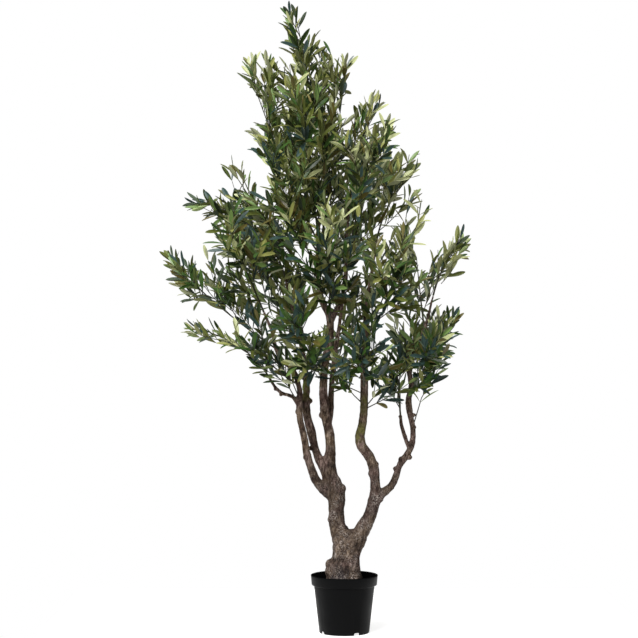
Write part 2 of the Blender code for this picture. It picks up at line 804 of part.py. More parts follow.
def grow_mass(name, axis, space, rng):
    """The parts of one mass: its stem first, then twigs and leaves."""
    width = MASSES[name][3]
    parts = []
    whole = sum((b - a).length for a, b in zip(axis, axis[1:]))
    count = max(FEWEST_TWIGS, round(whole / TWIG_SPACING))
    stem_share = 1 - LEAF_LENGTH * 0.95 / whole
    steps = [along_line(axis, stem_share * s / STEM_STEPS)[0] for s in range(STEM_STEPS + 1)]
    radii = [STEM_RADIUS * (1 - 0.45 * s / STEM_STEPS) for s in range(STEM_STEPS + 1)]
    tip, way = along_line(steps, 1)
    flat = Vector((0, 0, 1)) if abs(way.y) > 0.6 else Vector((0, -1, 0))
    stem = add_shoot(parts, steps, radii, flat, LEAF_LENGTH, name)
    stem.data.materials.append(material(*LEAF_GREEN))
    space.leaf_centres.append(tip + way * LEAF_LENGTH / 2)
    add_side_leaves(parts, space, name, steps[-2], tip, flat)
    turn = rng.uniform(0, 2 * math.pi)
    for number in range(count):
        share = FIRST_TWIG + (LAST_TWIG - FIRST_TWIG) * number / (count - 1)
        root, way = along_line(steps, share)
        for _ in range(TWIG_TRIES):
            turn += GOLDEN_ANGLE + rng.uniform(-0.25, 0.25)
            side = Matrix.Rotation(turn, 3, way) @ way.orthogonal().normalized()
            lean = TWIG_ANGLE * rng.uniform(0.85, 1.15)
            twig_way = outwards(root, way * math.cos(lean) + side * math.sin(lean))
            flat = twig_way.cross(side).cross(twig_way).normalized()
            reach = width * spindle(share) / math.sin(lean) - longest_leaf(name) * 0.75
            reach = max(reach, 1.5 * SMALLEST_TWIG)
            end = twig_end(space, name, root, twig_way, flat, reach)
            if end is not None:
                grow_twig(parts, space, name, root, end, flat)
                break
    return parts


def grow_twig(parts, space, name, root, end, flat):
    """One side twig with its last leaf and the leaves on its sides."""
    way = (end - root).normalized()
    length = leaf_fits(space, name, end, way, flat)
    add_shoot(parts, [root, end], [TWIG_RADIUS, TWIG_RADIUS], flat, length)
    space.leaf_centres.append(end + way * length / 2)
    add_side_leaves(parts, space, name, root, end, flat)


def fuse(parts):
    """Joins a mass's parts into its stem's object by one union, and removes the parts."""
    whole, rest = parts[0], parts[1:]
    crowd = bpy.data.collections.new("crowd")
    bpy.context.scene.collection.children.link(crowd)
    for obj in rest:
        bpy.context.scene.collection.objects.unlink(obj)
        crowd.objects.link(obj)
    join = whole.modifiers.new("join", "BOOLEAN")
    join.operation = "UNION"
    join.operand_type = "COLLECTION"
    join.collection = crowd
    join.solver = "MANIFOLD"
    replace_mesh_by_evaluated(whole)
    for obj in rest:
        bpy.data.objects.remove(obj)
    bpy.data.collections.remove(crowd)
    return whole


def make_masses():
    axes = {name: stem_axis(*spec[:3]) for name, spec in MASSES.items()}
    space = Space(axes, [limb_path(name) for name in LIMBS])
    for number, (name, axis) in enumerate(axes.items()):
        rng = random.Random(number)
        parts = grow_mass(name, axis, space, rng)
        cutter = object_from(limb_mesh(MASSES[name][0], GAP), "cutter")
        cut_by(parts[0], cutter)
        bpy.data.objects.remove(cutter)
        fuse(parts)


def main():
    clear_scene()
    make_pot()
    make_fill()
    make_limbs()
    make_masses()


main()
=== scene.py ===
# %% [markdown]
# # An artificial olive tree in a black nursery pot
# The tree is about 2.5 m tall. A moulded trunk stands in mortar in a plain nursery pot, forks
# low down and carries gnarled boughs. Thin green wire twigs with fabric leaves are plugged into
# them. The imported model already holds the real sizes: pot, limbs and large stand-in leaves.
# This notebook dresses it: bark with relief, a pot with rounded edges, and thousands of
# leaves of true size that grow by the same rule as the stand-ins. Units are metres.

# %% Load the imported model
import math
import random

import bmesh
import bpy
import numpy as np
from mathutils import Matrix, Vector, noise


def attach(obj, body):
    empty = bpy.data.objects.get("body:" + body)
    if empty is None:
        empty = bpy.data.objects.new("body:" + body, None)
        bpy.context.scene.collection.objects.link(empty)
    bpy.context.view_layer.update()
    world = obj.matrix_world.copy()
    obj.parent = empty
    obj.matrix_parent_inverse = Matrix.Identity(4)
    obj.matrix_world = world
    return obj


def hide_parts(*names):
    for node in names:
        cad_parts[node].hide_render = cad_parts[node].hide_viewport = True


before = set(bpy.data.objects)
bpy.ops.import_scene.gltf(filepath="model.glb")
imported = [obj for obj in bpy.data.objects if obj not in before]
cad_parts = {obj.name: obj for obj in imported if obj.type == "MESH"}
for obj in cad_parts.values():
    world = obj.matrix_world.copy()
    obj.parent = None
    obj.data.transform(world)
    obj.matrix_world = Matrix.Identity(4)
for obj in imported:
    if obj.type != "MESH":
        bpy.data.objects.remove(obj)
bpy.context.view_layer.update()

# %% [markdown]
# ## The camera
# The photo is taken level, from half the tree's height and about 7.5 m away: the rim of the pot
# shows as a narrow ellipse and nothing leans. A long lens at that distance gives the same
# slight perspective. The camera looks along +Y and stands a little to the left of the pot,
# because the crown leans left of it.

# %% Place the camera
CAMERA_PLACE = (-0.100, -7.5, 1.2375)
camera_data = bpy.data.cameras.new("photo_camera")
camera_data.lens = 107.1
camera = bpy.data.objects.new("photo_camera", camera_data)
camera.location = CAMERA_PLACE
camera.rotation_euler = (math.radians(90), 0, 0)
bpy.context.scene.collection.objects.link(camera)
bpy.context.scene.camera = camera
print("camera at", tuple(camera.location))

# %% [markdown]
# ## Where the limbs run
# The boughs of such a tree are moulded from real ones, so each bends its own way. Their routes
# are nearly those that the solids were made from: a few points with a radius at each, from root
# to tip. Long tables such as this are in millimetres, because that keeps them short. A smooth
# curve through the points gives as many places along a limb as a piece needs.

# %% Limb routes as (x, y, z, radius) in millimetres
FILL_LEVEL = 0.192
LIMB_ROUTES = {
    "trunk": [
        (0, 0, 192.3, 70), (0, 0, 235, 64), (2, 0, 270, 58), (6, 0, 305, 55), (15, 0, 345, 60),
        (24, 0, 378, 66), (26, 0, 398, 58), (26, 0, 408, 38),
    ],
    "centre_bough": [
        (0, 0, 340, 38), (-26, 0, 415, 34), (-32, 0, 480, 32), (-32, 0, 545, 36), (-56, 4, 610, 32),
        (-62, 8, 660, 28), (-55, 10, 720, 21.5), (-60, 6, 790, 18), (-74, 0, 855, 20),
        (-80, -10, 905, 17), (-83, -20, 985, 16), (-75, -18, 1070, 15.5), (-57, -8, 1180, 15),
        (-60, 0, 1250, 13.5), (-92, 0, 1320, 12), (-104, -10, 1450, 10), (-101, -5, 1640, 7.5),
    ],
    "outer_left_bough": [
        (-36, -2, 530, 26), (-86, -8, 568, 21), (-110, -14, 600, 18), (-131, -20, 650, 16.5),
        (-147, -26, 705, 15), (-159, -30, 775, 13.8), (-174, -32, 846, 12.8),
        (-178, -34, 905, 12.4), (-175, -36, 950, 11.5), (-200, -40, 1035, 10), (-245, -48, 1075, 9),
        (-272, -58, 1130, 8), (-285, -68, 1190, 6.8), (-316, -78, 1265, 5),
    ],
    "inner_left_bough": [
        (-62, 6, 615, 24), (-90, 14, 665, 19.5), (-114, 22, 722, 16.4), (-131, 28, 790, 17),
        (-147, 34, 850, 17), (-152, 38, 910, 16.5), (-150, 44, 975, 13.6), (-160, 52, 1070, 11),
        (-176, 60, 1160, 8.8), (-200, 70, 1260, 7), (-234, 80, 1400, 5),
    ],
    "back_bough": [
        (-66, 6, 815, 16), (-54, 30, 870, 12.8), (-52, 40, 945, 12.5), (-46, 48, 1010, 11.8),
        (-34, 70, 1110, 10), (-16, 118, 1230, 7.8), (0, 170, 1350, 5),
    ],
    "upper_right_bough": [
        (-60, -2, 1215, 12), (-30, 4, 1275, 10.8), (-4, 8, 1340, 9.8), (7, 10, 1430, 8.8),
        (8, 12, 1560, 7.6), (22, 14, 1700, 6.2), (34, 14, 1810, 5),
    ],
    "right_bough": [
        (36, 0, 345, 36), (73, 0, 410, 31), (95, 0, 450, 26.5), (112, -2, 495, 25.5),
        (122, -4, 545, 23.5), (121, -6, 600, 20), (113, -10, 655, 20.8), (96, -14, 698, 20),
        (69, -20, 735, 19.5), (61, -24, 775, 20.5), (71, -26, 825, 17.2), (77, -28, 890, 16),
        (78, -30, 990, 14.8), (82, -34, 1150, 12.2), (90, -40, 1300, 9.5), (110, -40, 1440, 7),
        (128, -40, 1550, 5),
    ],
    "right_outer_bough": [
        (124, -2, 528, 22), (154, 4, 553, 17.2), (184, 8, 575, 16), (203, 10, 612, 14.2),
        (219, 12, 660, 13), (249, 14, 700, 13), (270, 14, 750, 11.5), (271, 14, 808, 11.2),
        (258, 12, 870, 12.5), (256, 10, 925, 12.2), (266, 8, 975, 11.2), (252, 6, 1050, 9.8),
        (264, 6, 1100, 8.8), (302, 10, 1155, 7.8), (330, 16, 1240, 6.5), (352, 20, 1330, 5),
    ],
    "left_spur": [
        (-180, -34, 900, 10), (-203, -38, 932, 8.2), (-246, -42, 946, 7.4), (-275, -44, 973, 6.8),
        (-298, -46, 1012, 5),
    ],
    "right_spur": [
        (264, 13, 714, 10), (247, 10, 751, 8), (233, 8, 792, 8.6), (225, 6, 826, 8),
        (222, 4, 858, 6.2),
    ],
}


def metres(rows):
    """Rows of a table in millimetres, brought to metres."""
    return [tuple(value / 1000 for value in row) for row in rows]


def smooth_route(route, spacing):
    """Places and radii read from a smooth curve through the route's own points."""
    points = [np.array(p) for p in route]
    points = [2 * points[0] - points[1], *points, 2 * points[-1] - points[-2]]
    found = []
    for a, b, c, d in zip(points, points[1:], points[2:], points[3:]):
        steps = max(1, round(float(np.linalg.norm((c - b)[:3])) / spacing))
        for step in range(steps):
            t = step / steps
            found.append(
                0.5 * (2 * b + (c - a) * t + (2 * a - 5 * b + 4 * c - d) * t**2
                       + (3 * b - 3 * c + d - a) * t**3)
            )
    found.append(points[-2])
    found = np.array(found)
    return found[:, :3], found[:, 3]


LIMBS = {name: metres(rows) for name, rows in LIMB_ROUTES.items()}
LIMB_LINES = {name: smooth_route(route, 0.02) for name, route in LIMBS.items()}
print("limbs:", len(LIMB_LINES))

# %% [markdown]
# ## Bark with relief
# On the real tree trunk and boughs are one moulded skin: forks flow into each other and the
# surface is lumpy, pitted and creased. Separate tubes would show a hard seam at each fork.
# So curves with a round bevel give every limb, ball shapes add the burls and knots, and one
# voxel remesh melts them together. A little smoothing fills the forks like poured plastic.
# The trunk is wide where it forks to left and right, so its depth is taken in below the fork.

# %% Burls and knots as (x, y, z, radius) in millimetres
KNOTS = metres([
    (-48, -4, 268, 28), (-51, -6, 240, 28), (-46, -8, 205, 30), (30, -46, 212, 22), (6, 0, 411, 12),
    (52, 0, 411, 12), (46, 20, 215, 24), (-30, -56, 214, 17), (4, -60, 212, 16), (44, -48, 220, 17),
    (-12, -44, 300, 14), (34, -30, 352, 20), (-52, -4, 446, 16), (-10, -4, 566, 19),
    (-36, -28, 520, 13), (-130, 10, 727, 11), (-148, -28, 693, 14), (-86, -2, 857, 15),
    (-58, 12, 842, 14), (-136, 40, 912, 12), (-180, -36, 920, 14), (-182, -34, 872, 12),
    (121, -6, 664, 15), (108, -10, 628, 16), (134, -4, 530, 20), (56, -28, 770, 15),
    (202, 6, 646, 11), (224, 10, 681, 11), (259, 8, 690, 11), (277, 8, 858, 7), (281, 10, 809, 6),
    (274, 2, 994, 8), (277, 4, 968, 7), (250, 6, 905, 9), (222, 4, 852, 8.5), (240, 8, 772, 9.5),
    (-250, -42, 940, 7), (-272, -44, 962, 8),
])


def add_limbs(names):
    """Round bevelled curves along the named limbs, as one bmesh."""
    curve = bpy.data.curves.new("limbs", "CURVE")
    curve.dimensions = "3D"
    curve.bevel_depth = 1
    curve.bevel_resolution = 6
    curve.use_fill_caps = True
    for name in names:
        places, radii = LIMB_LINES[name]
        spline = curve.splines.new("POLY")
        spline.points.add(len(places) - 1)
        for point, place, radius in zip(spline.points, places, radii):
            point.co = (*place, 1)
            point.radius = radius
    carrier = bpy.data.objects.new("limbs", curve)
    mesh = bpy.data.meshes.new_from_object(carrier)
    bpy.data.objects.remove(carrier)
    bm = bmesh.new()
    bm.from_mesh(mesh)
    bpy.data.meshes.remove(mesh)
    return bm


def to_object(bm, name, *materials, smooth=True):
    """A new object from a bmesh, with its materials and smooth shading."""
    mesh = bpy.data.meshes.new(name)
    bm.to_mesh(mesh)
    bm.free()
    if smooth:
        mesh.shade_smooth()
    obj = bpy.data.objects.new(name, mesh)
    bpy.context.scene.collection.objects.link(obj)
    for look in materials:
        mesh.materials.append(look)
    return obj


def count_triangles(obj):
    return sum(len(face.vertices) - 2 for face in obj.data.polygons)


# %% Melt the limbs together
VOXEL = 0.0032
FLAT_FROM, FLAT_TO, FLAT_SHARE = 0.25, 0.395, 0.36


def flatten(bm, start, end, share):
    """Take a share off the depth of a bmesh, blended in between two heights."""
    for vert in bm.verts:
        step = min(1, max(0, (vert.co.z - start) / (end - start)))
        vert.co.y *= 1 - share * step * step * (3 - 2 * step)


def melt(name):
    """Limbs and knots fused by a voxel remesh and smoothed, the trunk flattened at its fork."""
    trunk = add_limbs(["trunk"])
    flatten(trunk, FLAT_FROM, FLAT_TO, FLAT_SHARE)
    flat = bpy.data.meshes.new("flat_trunk")
    trunk.to_mesh(flat)
    trunk.free()
    bm = add_limbs([limb for limb in LIMBS if limb != "trunk"])
    bm.from_mesh(flat)
    bpy.data.meshes.remove(flat)
    for x, y, z, radius in KNOTS:
        place = Matrix.Translation((x, y, z))
        bmesh.ops.create_icosphere(bm, subdivisions=3, radius=radius, matrix=place)
    obj = to_object(bm, name)
    remesh = obj.modifiers.new("melt", "REMESH")
    remesh.mode = "VOXEL"
    remesh.voxel_size = VOXEL
    smooth = obj.modifiers.new("pour", "SMOOTH")
    smooth.factor = 0.5
    smooth.iterations = 4
    graph = bpy.context.evaluated_depsgraph_get()
    melted = bpy.data.meshes.new_from_object(obj.evaluated_get(graph))
    obj.modifiers.clear()
    obj.data = melted
    return obj


bark = melt("bark")
print("bark triangles:", count_triangles(bark))

# %% [markdown]
# The skin is smooth so far. Real olive bark has lumps the size of a thumb, pits and pale
# plates of about a centimetre, and fine creases that run along the limb. Each is a
# layer of noise that moves the vertices along their normals, weaker where the limb is thin.

# %% Carve the relief
BATCH = 4000
STOUT = 0.035


def limb_radius_at(places):
    """How thick the tree is near each place: the radius of the nearest limb."""
    lines = np.concatenate([line for line, _ in LIMB_LINES.values()])
    radii = np.concatenate([radius for _, radius in LIMB_LINES.values()])
    found = np.empty(len(places))
    for start in range(0, len(places), BATCH):
        part = places[start:start + BATCH]
        gap = ((part[:, None, :] - lines[None]) ** 2).sum(-1)
        found[start:start + BATCH] = radii[gap.argmin(axis=1)]
    return found


def relief(place, thickness):
    """How far the bark stands out at a place on a limb of a given radius."""
    x, y, z = place
    lumps = noise.noise((x * 24, y * 24, z * 16))
    plates = noise.noise((x * 85 + 7, y * 85, z * 60))
    creases = noise.noise((x * 210, y * 210, z * 45 + 3))
    pits = max(0.0, noise.noise((x * 130, y * 130 + 5, z * 110)) - 0.25)
    share = min(1.0, thickness / STOUT)
    # Each layer has a height for thin limbs and more of it for stout ones, in metres.
    return lumps * (0.0010 + 0.0035 * share) + plates * (0.0006 + 0.0014 * share) \
        + creases * (0.0004 + 0.0005 * share) - pits * 0.0035 * share


def carve(obj):
    """Move every vertex by the relief and keep the move as an attribute."""
    mesh = obj.data
    places = np.empty(len(mesh.vertices) * 3)
    normals = np.empty(len(mesh.vertices) * 3)
    mesh.vertices.foreach_get("co", places)
    mesh.vertices.foreach_get("normal", normals)
    places = places.reshape(-1, 3)
    normals = normals.reshape(-1, 3)
    thickness = limb_radius_at(places)
    moves = np.array([relief(p, t) for p, t in zip(places, thickness)])
    places += normals * moves[:, None]
    places[:, 2] = np.maximum(places[:, 2], FILL_LEVEL - 0.004)
    mesh.vertices.foreach_set("co", places.ravel())
    height = mesh.attributes.new("relief", "FLOAT", "POINT")
    height.data.foreach_set("value", moves)
    mesh.update()


carve(bark)
bark.data.shade_smooth()
print("bark carved")

# %% [markdown]
# The bark is painted: a mottled grey-brown ground, speckled on the trunk and smoother on the
# boughs, with dark cracks. The mottling is noise in object space. How far each vertex was
# moved is kept in the mesh as an attribute, so painted shade darkens the pits. Painted shade
# also darkens the foot in the pot below the rim, and the bark grows lighter up the boughs.
# Each layer multiplies the last one, as thin washes of paint do.

# %% Helpers for materials
def new_material(name, colour, roughness):
    look = bpy.data.materials.new(name)
    look.use_nodes = True
    shader = look.node_tree.nodes["Principled BSDF"]
    shader.inputs["Base Color"].default_value = (*colour, 1)
    shader.inputs["Roughness"].default_value = roughness
    return look, look.node_tree, shader


def add_noise(tree, scale, detail, stretch=(1, 1, 1), roughness=0.5):
    """Noise in object space, stretched along the axes."""
    place = tree.nodes.new("ShaderNodeTexCoord")
    fit = tree.nodes.new("ShaderNodeMapping")
    fit.inputs["Scale"].default_value = stretch
    speckle = tree.nodes.new("ShaderNodeTexNoise")
    speckle.inputs["Scale"].default_value = scale
    speckle.inputs["Detail"].default_value = detail
    speckle.inputs["Roughness"].default_value = roughness
    tree.links.new(place.outputs["Object"], fit.inputs["Vector"])
    tree.links.new(fit.outputs["Vector"], speckle.inputs["Vector"])
    return speckle.outputs["Fac"]


def add_ramp(tree, factor, stops):
    """A colour ramp with (position, colour) stops. One number stands for a grey."""
    ramp = tree.nodes.new("ShaderNodeValToRGB")
    while len(ramp.color_ramp.elements) < len(stops):
        ramp.color_ramp.elements.new(0.5)
    for element, (position, colour) in zip(ramp.color_ramp.elements, stops):
        element.position = position
        element.color = (*(colour if isinstance(colour, tuple) else (colour,) * 3), 1)
    tree.links.new(factor, ramp.inputs["Fac"])
    return ramp.outputs["Color"]


def add_mix(tree, factor, low, high, blend="MIX"):
    mix = tree.nodes.new("ShaderNodeMix")
    mix.data_type = "RGBA"
    mix.blend_type = blend
    if isinstance(factor, float):
        mix.inputs["Factor"].default_value = factor
    else:
        tree.links.new(factor, mix.inputs["Factor"])
    tree.links.new(low, mix.inputs["A"])
    tree.links.new(high, mix.inputs["B"])
    return mix.outputs["Result"]


def add_shade(tree, colour, factor, stops):
    """A colour multiplied by a ramp."""
    return add_mix(tree, 1.0, colour, add_ramp(tree, factor, stops), "MULTIPLY")


def add_bump(tree, shader, height, strength, distance):
    bump = tree.nodes.new("ShaderNodeBump")
    bump.inputs["Strength"].default_value = strength
    bump.inputs["Distance"].default_value = distance
    tree.links.new(height, bump.inputs["Height"])
    tree.links.new(bump.outputs["Normal"], shader.inputs["Normal"])


def add_attribute(tree, name, low, high):
    """A mesh attribute brought to 0 at low and 1 at high."""
    source = tree.nodes.new("ShaderNodeAttribute")
    source.attribute_name = name
    return add_range(tree, source.outputs["Fac"], low, high)


def add_range(tree, value, low, high):
    """A value brought to 0 at low and 1 at high."""
    span = tree.nodes.new("ShaderNodeMapRange")
    span.inputs["From Min"].default_value = low
    span.inputs["From Max"].default_value = high
    tree.links.new(value, span.inputs["Value"])
    return span.outputs["Result"]


def add_height(tree, low, high):
    """The height above the floor brought to 0 at low and 1 at high."""
    place = tree.nodes.new("ShaderNodeTexCoord")
    split = tree.nodes.new("ShaderNodeSeparateXYZ")
    tree.links.new(place.outputs["Object"], split.inputs["Vector"])
    return add_range(tree, split.outputs["Z"], low, high)


def add_math(tree, first, second, operation="MULTIPLY"):
    """Two values multiplied, or joined by another operation."""
    step = tree.nodes.new("ShaderNodeMath")
    step.operation = operation
    tree.links.new(first, step.inputs[0])
    tree.links.new(second, step.inputs[1])
    return step.outputs["Value"]


def add_spot(tree, place, radius):
    """1 near a place, fading to 0 at a radius round it."""
    here = tree.nodes.new("ShaderNodeTexCoord")
    apart = tree.nodes.new("ShaderNodeVectorMath")
    apart.operation = "DISTANCE"
    apart.inputs[1].default_value = place
    tree.links.new(here.outputs["Object"], apart.inputs[0])
    return add_range(tree, apart.outputs["Value"], radius, radius * 0.4)


# %% Paint the ground of the bark
CRACK = (0.45, 0.38, 0.34)
bark_look, tree, shader = new_material("painted_bark", (0.12, 0.095, 0.078), 0.85)
shader.inputs["Specular IOR Level"].default_value = 0.2
knobbly = add_ramp(tree, add_noise(tree, 80, 4, (1, 1, 0.8), 0.85), [
    (0.37, (0.016, 0.010, 0.008)), (0.46, (0.050, 0.036, 0.029)),
    (0.54, (0.098, 0.075, 0.062)), (0.66, (0.230, 0.190, 0.165)),
])
smooth_brown = add_ramp(tree, add_noise(tree, 120, 4, (1, 1, 0.40), 0.75), [
    (0.36, (0.026, 0.018, 0.013)), (0.46, (0.068, 0.050, 0.040)),
    (0.55, (0.108, 0.082, 0.067)), (0.68, (0.210, 0.170, 0.145)),
])
paint = add_mix(tree, add_height(tree, 0.34, 0.56), knobbly, smooth_brown)
paint = add_shade(tree, paint, add_noise(tree, 15, 2), [
    (0.42, (1.02, 0.94, 1.00)), (0.50, 1.0), (0.58, (1.02, 0.99, 0.88)),
])
paint = add_shade(tree, paint, add_noise(tree, 26, 5, (1, 1, 0.6)), [
    (0.36, (0.36, 0.30, 0.27)), (0.46, (0.84, 0.80, 0.77)), (0.62, (1.32, 1.30, 1.28)),
])
# Painted shade in the pits: the deeper the carving at a vertex, the darker its bark.
paint = add_shade(tree, paint, add_attribute(tree, "relief", -0.0045, 0.0010), [
    (0.0, (0.30, 0.27, 0.25)), (0.75, 0.95), (1.0, 1.0),
])
paint = add_shade(tree, paint, add_noise(tree, 44, 5, (1, 1, 0.30)), [
    (0.462, 1.0), (0.492, CRACK), (0.506, CRACK), (0.536, 1.0),
])
# Painted shade on the foot inside the pot, below the rim; higher up, the bark grows lighter towards the
# upper boughs.
paint = add_shade(tree, paint, add_height(tree, 0.200, 0.900), [
    (0.01, (0.40, 0.34, 0.33)), (0.04, (0.80, 0.75, 0.73)), (0.09, (1.24, 1.22, 1.20)),
    (0.42, (0.72, 0.70, 0.68)), (0.60, (0.95, 0.94, 0.93)), (0.85, (1.78, 1.80, 1.80)),
])
print("ground painted, nodes:", len(tree.nodes))

# %% [markdown]
# A nearly dry brush left cream curls on the trunk's crests. They are contour lines of a soft
# noise: a ramp that is white only near its middle turns the noise into thin rings. Nearly black
# painted shade sits in the recesses at the front of the foot, and some boughs are tinted moss
# green. These lie at places of their own, so each is let in by a round spot that fades out,
# broken up by noise.

# %% Add painted shade at the foot, curls and moss
FOOT_SHADE_SPOT = ((-0.030, -0.066, 0.216), 0.072)
FLECK_SPOTS = [
    ((-0.060, -0.040, 0.292), 0.075), ((-0.056, -0.020, 0.455), 0.045),
    ((0.020, -0.060, 0.222), 0.050),
]
MOSS_SPOTS = [
    ((0.062, -0.044, 0.785), 0.060), ((0.076, -0.046, 0.900), 0.050),
    ((-0.150, 0.020, 0.955), 0.055),
]
# Painted shade: nearly black, in the recesses at the front of the trunk's foot, broken up by noise.
foot_shade = add_ramp(tree, add_noise(tree, 200, 3), [
    (0.30, (0.006, 0.004, 0.005)), (0.70, (0.022, 0.015, 0.017)),
])
foot_shade_spread = add_range(tree, add_noise(tree, 55, 4, (1, 1, 0.5)), 0.40, 0.50)
foot_shade_where = add_math(tree, add_spot(tree, *FOOT_SHADE_SPOT), foot_shade_spread)
paint = add_mix(tree, foot_shade_where, paint, foot_shade)
curls = add_ramp(tree, add_noise(tree, 120, 1), [(0.44, 0.0), (0.48, 1.0), (0.52, 1.0), (0.56, 0.0)])
fleck_rise = add_attribute(tree, "relief", -0.0030, 0.0008)
fleck_where = add_range(tree, add_noise(tree, 26, 3), 0.38, 0.64)
for place, radius in FLECK_SPOTS:
    fleck_where = add_math(tree, fleck_where, add_spot(tree, place, radius), "MAXIMUM")
fleck_fade = add_math(tree, add_range(tree, add_height(tree, 0.40, 0.72), 1.0, 0.30), fleck_where)
fleck_foot = add_math(tree, add_height(tree, 0.200, 0.225), fleck_fade)
flecks = add_math(tree, add_math(tree, curls, fleck_rise), fleck_foot)
cream = add_ramp(tree, flecks, [(0.0, (0.22, 0.185, 0.160)), (1.0, (0.37, 0.322, 0.290))])
paint = add_mix(tree, flecks, paint, cream)
moss = add_ramp(tree, add_noise(tree, 90, 4), [
    (0.35, (0.062, 0.058, 0.014)), (0.70, (0.180, 0.165, 0.058)),
])
moss_where = add_range(tree, add_noise(tree, 38, 3), 0.36, 0.56)
for place, radius in MOSS_SPOTS:
    tint = add_math(tree, add_spot(tree, place, radius), moss_where)
    paint = add_mix(tree, tint, paint, moss)
tree.links.new(paint, shader.inputs["Base Color"])
add_bump(tree, shader, add_noise(tree, 260, 7, (1, 1, 0.4)), 0.75, 0.0018)
bark.data.materials.append(bark_look)
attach(bark, "root")
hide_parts(*LIMBS)
print("bark painted")

# %% [markdown]
# ## The pot
# A nursery pot is blown from thin black plastic: a plain taper, a deep band under the rim and
# drain notches in the edge of the foot. Turning one profile gives all of it. The profile's
# corners are rounded as a mould rounds them, because a sharp edge catches no light. The
# notches are cut last, by blocks with a rounded upper edge.

# %% Turn the pot
POT_SIDES = 96


def turn(name, profile, look):
    """A closed shape turned from a profile of (radius, height)."""
    bm = bmesh.new()
    verts = [bm.verts.new((radius, 0, height)) for radius, height in profile]
    edges = [bm.edges.new(pair) for pair in zip(verts, verts[1:])]
    bmesh.ops.spin(bm, geom=verts + edges, cent=(0, 0, 0), axis=(0, 0, 1),
                   angle=2 * math.pi, steps=POT_SIDES, use_merge=True)
    bmesh.ops.remove_doubles(bm, verts=bm.verts, dist=1e-5)
    bmesh.ops.recalc_face_normals(bm, faces=bm.faces)
    obj = to_object(bm, name, look)
    obj.data.set_sharp_from_angle(angle=math.radians(40))
    return obj


plastic, tree, shader = new_material("black_moulded_plastic", (0.0015, 0.0016, 0.0018), 0.5)
shader.inputs["Specular IOR Level"].default_value = 0.06
add_bump(tree, shader, add_noise(tree, 900, 3), 0.12, 0.0004)
scuffs = add_ramp(tree, add_noise(tree, 14, 5), [(0.35, 0.40), (0.75, 0.56)])
tree.links.new(scuffs, shader.inputs["Roughness"])

RIM_HEIGHT = 0.2275
pot = turn("nursery_pot", [
    (0, 0.013), (0.0895, 0.013), (0.0945, 0.0125), (0.0952, 0.006), (0.0947, 0.0006),
    (0.0955, 0), (0.0974, 0.0004), (0.0988, 0.0024), (0.1194, 0.1830), (0.1200, 0.1848),
    (0.1272, 0.1882), (0.1290, 0.1900), (0.1318, 0.2220), (0.1326, 0.2250), (0.1320, 0.2269),
    (0.1308, RIM_HEIGHT), (0.1296, 0.2268), (0.1290, 0.2245), (0.1258, 0.1925), (0.1170, 0.1860),
    (0.0970, 0.0150), (0, 0.0150),
], plastic)
print("pot triangles:", count_triangles(pot))

# %% Cut the drain notches
NOTCH_ANGLES = [-61, -151, 119, 29]
NOTCH_SIZE = (0.030, 0.024, 0.021)
NOTCH_CORNER = 0.0055
FOOT_RADIUS = 0.100


def is_level(edge):
    low, high = sorted(vert.co.z for vert in edge.verts)
    return high - low < 0.001


cutters = bmesh.new()
for angle in NOTCH_ANGLES:
    place = Matrix.Rotation(math.radians(angle), 4, "Z") @ Matrix.Translation((FOOT_RADIUS, 0, 0))
    size = Matrix.Diagonal((*NOTCH_SIZE, 1))
    block = bmesh.ops.create_cube(cutters, size=1, matrix=place @ size)["verts"]
    upper = {e for v in block if v.co.z > 0 for e in v.link_edges if is_level(e)}
    inward = [e for e in upper if e.calc_length() > NOTCH_SIZE[1] + 0.001]
    bmesh.ops.bevel(cutters, geom=inward, offset=NOTCH_CORNER, affect="EDGES", segments=4,
                    profile=0.5, material=-1)
notches = to_object(cutters, "notches", smooth=False)
cut = pot.modifiers.new("notches", "BOOLEAN")
cut.operation = "DIFFERENCE"
cut.solver = "EXACT"
cut.object = notches
graph = bpy.context.evaluated_depsgraph_get()
notched = bpy.data.meshes.new_from_object(pot.evaluated_get(graph))
pot.modifiers.clear()
pot.data = notched
bpy.data.objects.remove(notches)
print("pot with notches, triangles:", count_triangles(pot))

# %% [markdown]
# ## The mortar
# The trunk is set in mortar that fills the pot to 3.5 cm below the rim. Its top is rough and
# nearly black, and it is only seen past the rim.

# %% Pour the mortar
mortar_look, tree, shader = new_material("dark_mortar", (0.020, 0.018, 0.016), 0.95)
crumbs = add_ramp(tree, add_noise(tree, 160, 6), [
    (0.35, (0.008, 0.007, 0.006)), (0.70, (0.040, 0.034, 0.028)),
])
tree.links.new(crumbs, shader.inputs["Base Color"])
add_bump(tree, shader, add_noise(tree, 240, 6), 0.7, 0.003)
mortar = turn("mortar_top", [
    (0, FILL_LEVEL - 0.008), (0.1155, FILL_LEVEL - 0.008), (0.1236, FILL_LEVEL - 0.001),
    (0.1230, FILL_LEVEL), (0.1000, FILL_LEVEL + 0.0015), (0, FILL_LEVEL + 0.002),
], mortar_look)
for piece, node, finish in ((pot, "pot", "black_plastic"), (mortar, "mortar_fill", "mortar")):
    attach(piece, "root")
    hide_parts(node)
print("mortar poured")
